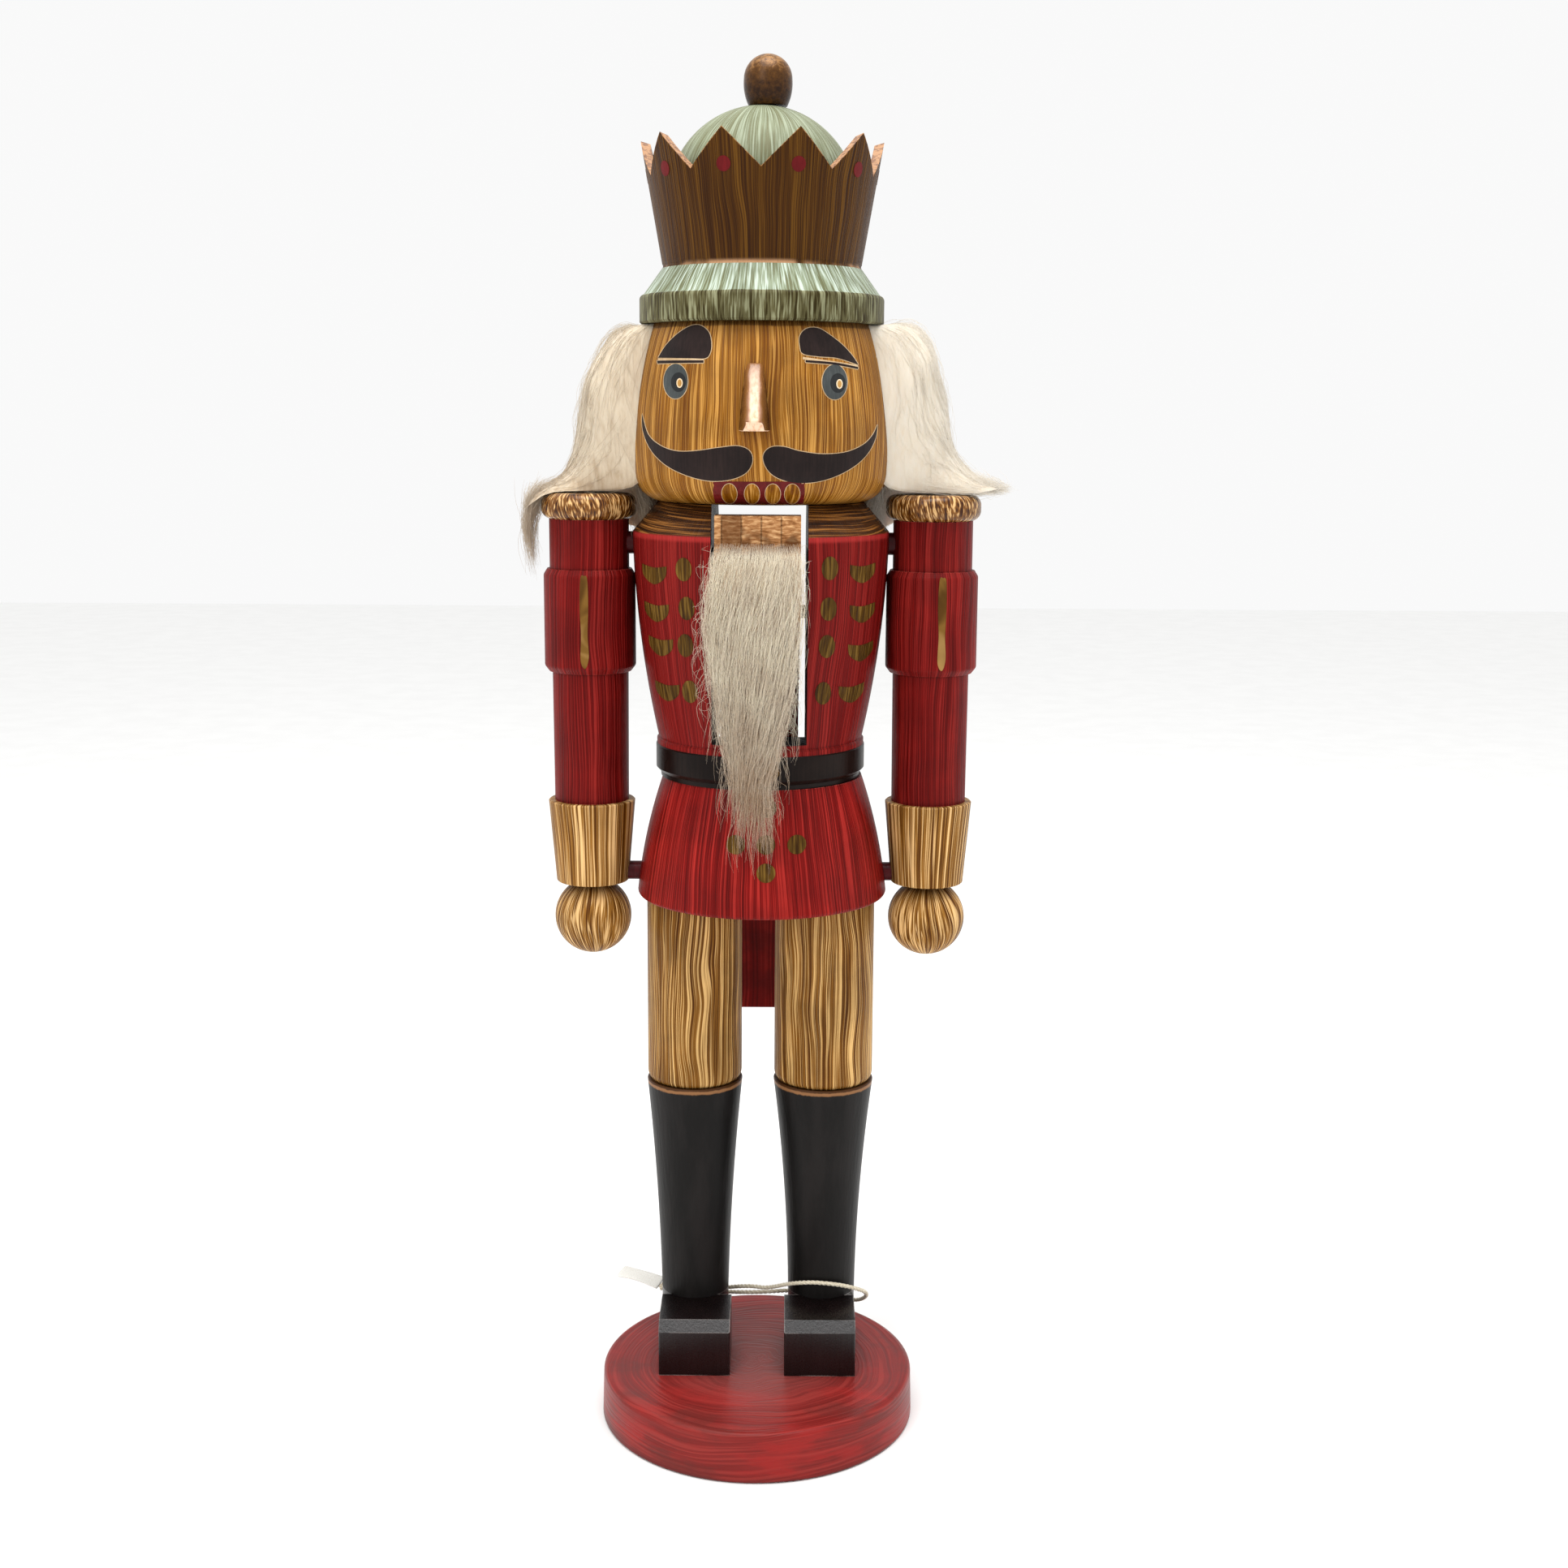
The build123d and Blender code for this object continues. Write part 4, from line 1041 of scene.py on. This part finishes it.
def make_knot(place, material):
    """An overhand knot: a small trefoil of the same string."""
    turn = np.linspace(0, 2 * math.pi, 60, endpoint=False)
    size = 0.62 * MM
    path = np.stack([
        (np.sin(turn) + 2 * np.sin(2 * turn)) * size,
        (np.cos(turn) - 2 * np.cos(2 * turn)) * size,
        -np.sin(3 * turn) * size,
    ], 1) + np.array(place) + np.array((-0.5, -0.8, 0)) * MM
    ring = 10
    around = np.linspace(0, 2 * math.pi, ring, endpoint=False)
    tangents = unit(np.roll(path, -1, 0) - np.roll(path, 1, 0))
    sides = unit(np.cross(tangents, (0, 0, 1.0)))
    ups = np.cross(sides, tangents)
    radius = 0.85 * MM
    verts = []
    for point, side, up in zip(path, sides, ups):
        verts.extend(point + radius * (np.outer(np.cos(around), side) + np.outer(np.sin(around), up)))
    faces = []
    count = len(path)
    for index in range(count):
        for step in range(ring):
            first, second = index * ring + step, index * ring + (step + 1) % ring
            following = (index + 1) % count
            faces.append((first, second, following * ring + (step + 1) % ring, following * ring + step))
    knot = mesh_object("string_knot", verts, faces, material)
    face_outward(knot)
    return knot


def make_tag():
    """A blank paper tag, gently curled."""
    shader = Shader("tag_paper")
    place = shader.place()
    fibre = shader.noise(place, scale=2.2, detail=5.0)
    colour = shader.mix(shader.step(fibre, 0.3, 0.7), srgb(226, 223, 214), srgb(244, 242, 236))
    shader.bump(fibre, 0.00005)
    paper = shader.finish(colour, 0.75, specular=0.3)
    columns, rows = 20, 12
    thickness = 0.5 * MM
    up = TAG_RUN.cross(TAG_ACROSS)
    top = []
    for row in range(rows + 1):
        for column in range(columns + 1):
            u, v = column / columns, row / rows
            corner = max(0.0, abs(v - 0.5) * 2 - 0.8) * 5
            run = TAG_LENGTH * (u + 0.03 * corner * (1 - u))
            rise = 0.55 * math.sin(math.pi * u) + 0.3 * math.sin(3.2 * v + 4 * u)
            flat = TAG_TIP + TAG_RUN * run + TAG_ACROSS * (TAG_WIDTH * v)
            top.append(flat + up * (thickness + rise * MM))
    count = len(top)
    under = [point - up * thickness for point in top]
    faces = []
    width = columns + 1
    for row in range(rows):
        for column in range(columns):
            first = row * width + column
            quad = (first, first + 1, first + width + 1, first + width)
            faces.append(quad)
            faces.append(tuple(index + count for index in reversed(quad)))
    rim = [*range(columns),
           *(row * width + columns for row in range(rows)),
           *(rows * width + column for column in range(columns, 0, -1)),
           *(row * width for row in range(rows, 0, -1))]
    for first, second in zip(rim, rim[1:] + rim[:1]):
        faces.append((first, second, second + count, first + count))
    tag = mesh_object("paper_tag", top + under, faces, paper)
    face_outward(tag)
    return tag


# ------------------------------------------------------------------ fleece
def fleece_material(name, shade_at, dark, light, streak=(2.2, 2.2, 0.12), tint=None, root=None):
    """Combed wool: fine fibres along the flow, a soft glow, darker between the locks.

    shade_at is (low, high) heights between which the wool goes from dark to light; tint is a colour that
    takes over towards +X; root is (low, high, colour), a colour that takes over towards the height where
    the wool is glued on.
    """
    shader = Shader(name)
    place = shader.place()
    x, _, z = shader.parts(place)
    fine = shader.noise(shader.stretched(place, streak), detail=4.0, roughness=0.6)
    lumps = shader.noise(place, scale=0.07, detail=2.0)
    rise = shader.step(z, shade_at[0], shade_at[1])
    tone = shader.plus(shader.times(fine, 0.5), shader.times(lumps, 0.3))
    tone = shader.plus(tone, shader.times(rise, 0.3))
    colour = shader.mix(shader.step(tone, 0.35, 0.8), dark, light)
    if tint is not None:
        colour = shader.mix(shader.step(x, -20.0, 40.0), colour, shader.mix(fine, tint, light))
    if root is not None:
        colour = shader.mix(shader.step(z, root[0], root[1]), colour, root[2])
    shader.bump(fine, 0.0003)
    shader.surface.inputs["Subsurface Weight"].default_value = 0.25
    shader.surface.inputs["Subsurface Radius"].default_value = (1.0, 0.8, 0.6)
    shader.surface.inputs["Subsurface Scale"].default_value = 0.003
    return shader.finish(colour, 0.95, specular=0.1, sheen=0.35)


def fibres(name, paths, thickness, material):
    """Thin three-sided hairs along the given paths, an array of (hair, step, xyz) in metres."""
    count, steps, _ = paths.shape
    tangents = unit(np.gradient(paths, axis=1))
    aside = unit(np.cross(tangents, (0.31, 0.89, 0.33)))
    across = np.cross(tangents, aside)
    taper = np.sin(np.linspace(0.25, math.pi - 0.12, steps)) ** 0.5 * thickness / 2
    turn = np.array([0.0, 2.094, 4.189])
    ring = np.cos(turn)[:, None] * aside[:, :, None, :] + np.sin(turn)[:, None] * across[:, :, None, :]
    verts = (paths[:, :, None, :] + ring * taper[None, :, None, None]).reshape(-1, 3)
    first = (np.arange(count) * steps * 3)[:, None]
    row = first[:, :, None] + (np.arange(steps - 1) * 3)[None, :, None]
    corner = np.arange(3)[None, None, :]
    following = (corner + 1) % 3
    corners = (row + corner, row + following, row + 3 + following, row + 3 + corner)
    quads = np.stack(np.broadcast_arrays(*corners), -1).reshape(-1, 4)
    roots = first + np.array([2, 1, 0])
    tips = first + (steps - 1) * 3 + np.array([0, 1, 2])
    return mesh_object(name, verts.tolist(), quads.tolist() + roots.tolist() + tips.tolist(), material)


def smooth_path(points, count):
    """A path through control points, given as (a, b) pairs, resampled evenly."""
    points = np.array(points, float)
    padded = np.vstack([2 * points[0] - points[1], points, 2 * points[-1] - points[-2]])
    dense = []
    for index in range(len(points) - 1):
        for t in np.linspace(0, 1, 12, endpoint=False):
            dense.append(spline_point(*padded[index:index + 4], t))
    dense.append(points[-1])
    return resampled(np.array(dense), count)


HAIR_STEPS = 26
HAIR_FRONT = 83.0  # degrees from the front where the hair begins at the shoulders, on both sides
HAIR_TEMPLE = 69.0  # and at the temples
# each profile is (radius, height) in millimetres from the head's axis: outside then inside
HAIR_PROFILES = {
    "back": ([(50, 496.5), (61, 493), (70, 479), (75, 460), (76, 444), (72, 430), (62, 421)],
             [(48, 496.5), (50, 480), (52, 458), (51, 440), (51, 427), (62, 421)]),
    "nape": ([(50, 496.5), (61, 493), (70, 479), (75, 460), (77, 440), (74, 420), (60, 405)],
             [(48, 496.5), (50, 480), (52, 455), (50, 430), (47, 414), (60, 405)]),
    "left": ([(50, 496.5), (62, 494.5), (72, 482), (78.5, 464), (82, 445), (88.5, 431), (99, 425.5),
              (104, 417)],
             [(48, 496.5), (50, 480), (53, 455), (52, 434), (58, 426), (76, 424.4), (94, 423.6),
              (104, 417)]),
    "right": ([(50, 496.5), (66, 496.5), (75, 486), (79.5, 470), (83, 453), (88.5, 439), (97, 430.5),
               (105, 426.5)],
              [(48, 496.5), (50, 480), (53, 455), (52, 434), (58, 426), (76, 424.4), (94, 424.2),
               (105, 426.5)]),
}


def hair_sheets():
    """The hair's outside, inside and outward normals, as grids of (turn, step, xyz) in millimetres."""
    profiles = {}
    for name, pair in HAIR_PROFILES.items():
        profiles[name] = [smooth_path(part, HAIR_STEPS) for part in pair]
    turns = np.linspace(HAIR_FRONT, 360 - HAIR_FRONT, 150)
    below_temple = smoothstep(0.35, 0.8, np.linspace(0, 1, HAIR_STEPS))
    fronts = HAIR_TEMPLE + (HAIR_FRONT - HAIR_TEMPLE) * below_temple
    outside, inside = [], []
    for turn in turns:
        signed = turn if turn <= 180 else turn - 360
        side = profiles["right" if signed > 0 else "left"]
        share = 1 - smoothstep(104, 122, abs(signed))
        middle_share = smoothstep(124, 148, abs(signed))
        begin = min(1.0, (abs(signed) - HAIR_FRONT) / 11.0)
        fullness = math.sqrt(max(0.0, 1 - (1 - begin) ** 2))
        behind = [back * middle_share + nape * (1 - middle_share)
                  for back, nape in zip(profiles["back"], profiles["nape"])]
        outer = behind[0] * (1 - share) + side[0] * share
        inner = behind[1] * (1 - share) + side[1] * share
        outer = inner + (outer - inner) * fullness
        progress = (turn - HAIR_FRONT) / (360 - 2 * HAIR_FRONT)
        swept = np.radians(fronts + progress * (360 - 2 * fronts))
        direction = np.column_stack([np.sin(swept), -np.cos(swept)])
        for sheet, profile in ((outside, outer), (inside, inner)):
            flat = profile[:, :1] * direction
            sheet.append(np.column_stack([flat[:, 0], flat[:, 1] + BODY_Y / MM, profile[:, 1]]))
    outside, inside = np.array(outside), np.array(inside)
    normals = unit(np.cross(np.gradient(outside, axis=0), np.gradient(outside, axis=1)))
    radial = outside - np.array((0, BODY_Y / MM, 0))
    radial[:, :, 2] = 0
    if (normals * radial).sum() < 0:
        normals = -normals
    return outside, inside, normals


def on_grid(grid, u, v):
    """Values of a (turn, step, xyz) grid at fractional places u, v in 0..1."""
    rows, columns = grid.shape[0] - 1, grid.shape[1] - 1
    a, b = np.clip(u, 0, 1) * rows, np.clip(v, 0, 1) * columns
    i, j = np.minimum(a.astype(int), rows - 1), np.minimum(b.astype(int), columns - 1)
    fa, fb = (a - i)[..., None], (b - j)[..., None]
    return ((grid[i, j] * (1 - fa) + grid[i + 1, j] * fa) * (1 - fb)
            + (grid[i, j + 1] * (1 - fa) + grid[i + 1, j + 1] * fa) * fb)


def make_hair():
    """Combed wool round the back of the head, flaring over the shoulders."""
    wool = fleece_material("hair_fleece", (398.0, 450.0), srgb(174, 150, 120), srgb(217, 203, 180),
                           streak=(0.5, 0.5, 0.10), tint=srgb(228, 222, 210))
    outside, inside, normals = hair_sheets()
    swell = ripple(outside, 26.0, 3) * 0.9
    turns = np.linspace(0, 1, outside.shape[0])[:, None] * np.ones(outside.shape[1])
    locks = ripple(np.stack([turns * 260, outside[:, :, 2] * 0.05, turns * 0], -1), 7.0, 5) * 0.45
    fade = np.sin(np.linspace(0.12, math.pi - 0.02, outside.shape[1]))[None, :]
    outside = outside + normals * ((swell + locks) * fade)[:, :, None]
    rows, columns = outside.shape[:2]
    verts = np.concatenate([outside.reshape(-1, 3), inside.reshape(-1, 3)]) * MM
    count = rows * columns
    faces = []
    for row in range(rows - 1):
        for column in range(columns - 1):
            first = row * columns + column
            quad = (first, first + 1, first + columns + 1, first + columns)
            faces.append(quad)
            faces.append(tuple(index + count for index in reversed(quad)))
    sides = [(row * columns + column, (row + 1) * columns + column)
             for row in range(rows - 1) for column in (0, columns - 1)]
    ends = [(row * columns + column, row * columns + column + 1)
            for row in (0, rows - 1) for column in range(columns - 1)]
    for first, second in sides + ends:
        faces.append((first, second, second + count, first + count))
    core = mesh_object("hair_fleece", verts, faces, wool)
    face_outward(core)
    smooth = core.modifiers.new("soft", "SMOOTH")
    smooth.iterations = 2

    draw = np.random.default_rng(11)
    steps = 7
    along = np.linspace(0, 1, steps)[None, :]

    def strands(number, reach, lift, curl, top=0.9):
        u = draw.uniform(0.004, 0.996, (number, 1)) + draw.normal(0, 0.006, (number, 1)) * along
        v = draw.uniform(0.0, top, (number, 1)) + draw.uniform(*reach, (number, 1)) * along
        places = on_grid(outside, u, v)
        out = on_grid(normals, u, v)
        sideways = unit(np.cross(out, np.gradient(places, axis=1)))
        phase = draw.uniform(0, 6.28, (number, 1))
        waves = draw.uniform(2.0, 6.0, (number, 1))
        height = draw.uniform(*lift, (number, 1)) * np.sin(along * math.pi * 0.9) - 0.25
        swing = draw.uniform(*curl, (number, 1)) * np.sin(phase + waves * along)
        return places + out * height[:, :, None] + sideways * swing[:, :, None]

    combed = strands(5000, (0.10, 0.30), (0.2, 0.9), (0.1, 1.0))
    stray = strands(1100, (0.12, 0.3), (1.2, 3.2), (0.5, 2.4), top=0.98)

    def wisp(start, spread, end, end_spread, number, sag):
        first = np.array(start) + draw.normal(0, 1, (number, 3)) * np.array(spread)
        last = np.array(end) + draw.normal(0, 1, (number, 3)) * np.array(end_spread)
        depth = (np.array(sag) + draw.normal(0, 1.0, (number, 3)))[:, None, :]
        bow = np.sin(along * math.pi)[:, :, None] * depth
        ease = (along**0.9)[:, :, None]
        return first[:, None, :] * (1 - ease) + last[:, None, :] * ease + bow

    mid = BODY_Y / MM
    wisps = [
        wisp((-100, mid + 2, 421), (2.5, 7, 2.5), (-102.5, mid + 2, 397), (1.4, 3.5, 5), 260,
             (-2.5, 0, 1.5)),
        wisp((-94, mid, 427), (5, 8, 2), (-104, mid + 1, 412), (1.2, 5, 4), 260, (-1, 0, 2)),
        wisp((94, mid, 430), (5, 8, 2.5), (108.5, mid + 1, 426), (2, 3, 1), 300, (0, 0, -0.6)),
        wisp((80, mid - 8, 428), (10, 5, 2.5), (99, mid - 6, 425), (4, 4, 1.2), 240, (0, 0, -0.6)),
        wisp((-53, mid + 6, 424), (3, 8, 4), (-51, mid + 6, 408), (3, 7, 3), 260, (0.6, 0, 0)),
        wisp((53, mid + 6, 424), (3, 8, 4), (51, mid + 6, 410), (3, 7, 3), 260, (-0.6, 0, 0)),
    ]
    hairs = fibres("hair_fibres", combed * MM, 0.14 * MM, wool)
    loose = fibres("hair_wisps", np.concatenate([stray, *wisps]) * MM, 0.12 * MM, wool)
    for piece in (core, hairs, loose):
        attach(piece, ROOT)
    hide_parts("hair_left", "hair_right", "hair_back")


BEARD_ROWS = [  # (height, middle X, half width, half depth, middle Y) in millimetres
    (403.5, -0.8, 17.0, 2.5, -31.0),
    (399.0, -0.8, 18.6, 5.0, -33.5),
    (388.0, -1.6, 19.0, 6.2, -36.0),
    (372.0, -2.6, 19.2, 6.4, -37.0),
    (356.0, -2.6, 17.6, 6.2, -37.0),
    (340.0, -2.4, 15.4, 5.8, -36.5),
    (320.0, -2.6, 11.8, 5.0, -35.0),
    (302.0, -3.0, 8.4, 4.0, -34.0),
    (290.0, -2.4, 5.4, 3.0, -33.0),
    (278.0, -1.6, 3.2, 2.0, -32.2),
    (270.0, -1.0, 1.0, 0.8, -31.8),
]


def beard_at(height):
    """Middle X, half width, half depth and middle Y of the beard at heights in millimetres."""
    rows = np.array(BEARD_ROWS[::-1])
    return [np.interp(height, rows[:, 0], rows[:, column]) for column in range(1, 5)]


def make_beard():
    """A combed tuft glued to the jaw: a ridged core, combed fibres and loose curls at its sides."""
    wool = fleece_material("beard_fleece", (264.0, 376.0), srgb(186, 150, 114), srgb(255, 244, 217),
                           streak=(2.2, 2.2, 0.10), root=(399.0, 406.0, srgb(170, 132, 88)))
    # The darker wool of the core and the underlayer is painted shade between the combed fibres.
    deep = fleece_material("beard_depths", (290.0, 396.0), srgb(104, 74, 50), srgb(204, 174, 138),
                           streak=(1.5, 1.5, 0.10), root=(396.0, 401.0, srgb(110, 76, 46)))
    rows, ring = 90, 72
    heights = np.linspace(400.0, 300.0, rows)
    middle_x, half_width, half_depth, middle_y = beard_at(heights)
    slimmer = (0.15 + 0.85 * smoothstep(298, 340, heights)) * (0.5 + 0.5 * smoothstep(401, 392, heights))
    half_width, half_depth = half_width * slimmer, half_depth * slimmer
    turn = np.linspace(0, 2 * math.pi, ring, endpoint=False)
    girth = np.sign(np.cos(turn)) * np.abs(np.cos(turn)) ** 0.85
    depth = np.sign(np.sin(turn)) * np.abs(np.sin(turn)) ** 0.85
    x = middle_x[:, None] + half_width[:, None] * 0.92 * girth
    y = middle_y[:, None] - half_depth[:, None] * depth
    z = np.broadcast_to(heights[:, None], x.shape)
    places = np.stack([x, y, z], -1)
    flow = np.stack([girth * 60 + 4 * np.sin(heights[:, None] / 13), depth * 30 + 0 * x, z * 0.16], -1)
    locks = ripple(flow, 13.0, 21) * 0.8 + ripple(flow, 5.0, 22) * 0.35
    locks *= 0.3 + 0.7 * smoothstep(375, 325, heights)[:, None]
    out = np.stack([girth * 0.8, -depth, 0 * girth], -1)
    places = places + out[None] * (locks * np.clip(half_depth[:, None] / 5.0, 0.2, 1.0))[:, :, None]
    core = mesh_object("beard_fleece", places.reshape(-1, 3) * MM, tube_faces(rows, ring), deep)
    face_outward(core)

    draw = np.random.default_rng(31)
    steps = 9
    along = np.linspace(0, 1, steps)[None, :]
    lock_count = 7
    lock_middles = np.linspace(-0.85, 0.85, lock_count)
    lock_ends = np.array([286.0, 270.0, 280.0, 262.0, 272.0, 265.0, 284.0])

    def combed(number, reach, lift, curl, start_between=(304.0, 404.0)):
        ratio = draw.uniform(-1.0, 1.0, (number, 1))
        slant = draw.normal(0, 0.16, (number, 1)) * (along - 0.5)
        lock = np.clip(((ratio + 1) / 2 * lock_count).astype(int), 0, lock_count - 1)
        low, high = start_between
        start = low + draw.uniform(0, 1, (number, 1)) ** 0.5 * (high - low)
        lowest = lock_ends[lock] + draw.uniform(-2, 14, (number, 1))
        end = np.maximum(start - draw.uniform(*reach, (number, 1)), lowest)
        height = start + (end - start) * along
        middle_x, half_width, half_depth, middle_y = beard_at(height)
        cling = smoothstep(330, 282, height)
        locked = lock_middles[lock] * cling + draw.normal(0, 0.06, (number, 1)) * cling
        held = (ratio + slant) * (1 - cling) + locked
        spread = np.maximum(half_width, 5.5 * (1 - cling) + 9.5 * cling)
        phase, waves = draw.uniform(0, 6.28, (number, 1)), draw.uniform(2, 7, (number, 1))
        amount = draw.uniform(*curl, (number, 1))
        x = middle_x + held * spread + amount * np.sin(phase + waves * along)
        bulge = np.sqrt(np.clip(1 - np.abs(held) ** 2.4, 0, 1))
        y = middle_y - half_depth * bulge - draw.uniform(*lift, (number, 1)) * np.sin(along * math.pi) + 0.3
        return np.stack([x, y + amount * 0.4 * np.cos(phase + waves * along), height], -1)

    def curls(number, side, heights_between, reach):
        start = draw.uniform(*heights_between, (number, 1))
        middle_x, half_width, _, middle_y = beard_at(start)
        outward = draw.uniform(*reach, (number, 1))
        drop = draw.uniform(-6, 30, (number, 1))
        phase, waves = draw.uniform(0, 6.28, (number, 1)), draw.uniform(2, 7, (number, 1))
        bow = draw.uniform(0.5, 2.4, (number, 1))
        swing = np.sin(along * draw.uniform(1.2, 2.6, (number, 1)))
        x = middle_x + side * (half_width * 0.75 + outward * swing)
        y = middle_y + draw.uniform(-5, 2, (number, 1)) + bow * np.sin(phase + waves * along)
        z = start - drop * along + bow * np.cos(phase + waves * 1.3 * along)
        return np.stack([x, y, z], -1)

    body = np.concatenate([combed(2100, (24, 74), (0.2, 2.2), (0.5, 3.4)),
                           combed(600, (16, 40), (0.1, 1.0), (0.2, 1.2), start_between=(399.0, 405.0))])
    loose = np.concatenate([combed(600, (30, 70), (1.0, 3.2), (1.2, 3.8)),
                            curls(150, -1, (338, 400), (2, 12)), curls(110, 1, (335, 402), (2, 9)),
                            curls(60, -1, (286, 345), (2, 8)), curls(60, 1, (286, 345), (2, 8))])
    # Darker fibres under the combed ones, as painted shade.
    under = combed(1100, (20, 60), (0.2, 1.6), (0.4, 2.4), start_between=(322.0, 404.0))
    hairs = fibres("beard_fibres", body * MM, 0.15 * MM, wool)
    shaded = fibres("beard_underlayer", under * MM, 0.14 * MM, deep)
    curled = fibres("beard_curls", loose * MM, 0.10 * MM, wool)
    for piece in (core, hairs, shaded, curled):
        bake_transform(piece)
    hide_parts("beard")


# ------------------------------------------------------------------ studio
def make_studio():
    """A pale floor, a pale backdrop and two soft lamps."""
    shader = Shader("studio_floor")
    grain = shader.noise(shader.place(), scale=0.02, detail=3.0)
    colour = shader.mix(shader.step(grain, 0.3, 0.7), srgb(246, 246, 245), srgb(249, 249, 248))
    white = shader.finish(colour, 0.8, specular=0.2)
    half = 4.0
    steps = 24
    verts = []
    for row in range(steps + 1):
        for column in range(steps + 1):
            verts.append((half * (2 * column / steps - 1), half * (2 * row / steps - 1), 0.0))
    faces = []
    for row in range(steps):
        for column in range(steps):
            first = row * (steps + 1) + column
            faces.append((first, first + 1, first + steps + 2, first + steps + 1))
    floor = mesh_object("floor", verts, faces, white)

    scene = bpy.context.scene
    world = bpy.data.worlds.new("studio")
    scene.world = world
    world.use_nodes = True
    backdrop = world.node_tree.nodes["Background"]
    backdrop.inputs["Color"].default_value = (1.0, 1.0, 1.0, 1)
    backdrop.inputs["Strength"].default_value = 0.95
    scene.view_settings.view_transform = "Standard"

    def softbox(name, place, target, size, power, colour=(1, 1, 1)):
        data = bpy.data.lights.new(name, "AREA")
        data.shape = "RECTANGLE"
        data.size, data.size_y = size
        data.energy = power
        data.color = colour
        lamp = bpy.data.objects.new(name, data)
        scene.collection.objects.link(lamp)
        lamp.location = place
        lamp.rotation_euler = (Vector(target) - Vector(place)).to_track_quat("-Z", "Y").to_euler()

    centre = (0, BODY_Y, 0.34)
    softbox("key", (-0.7, -1.3, 1.3), centre, (0.6, 0.9), 5.0, (1.0, 0.97, 0.93))
    softbox("top", (0.0, -0.2, 1.7), centre, (1.0, 1.0), 19.0)


make_camera()
make_string()
make_studio()
paint_turned_pieces()
make_nose()
paint_face()
paint_coat()
make_hair()
make_beard()
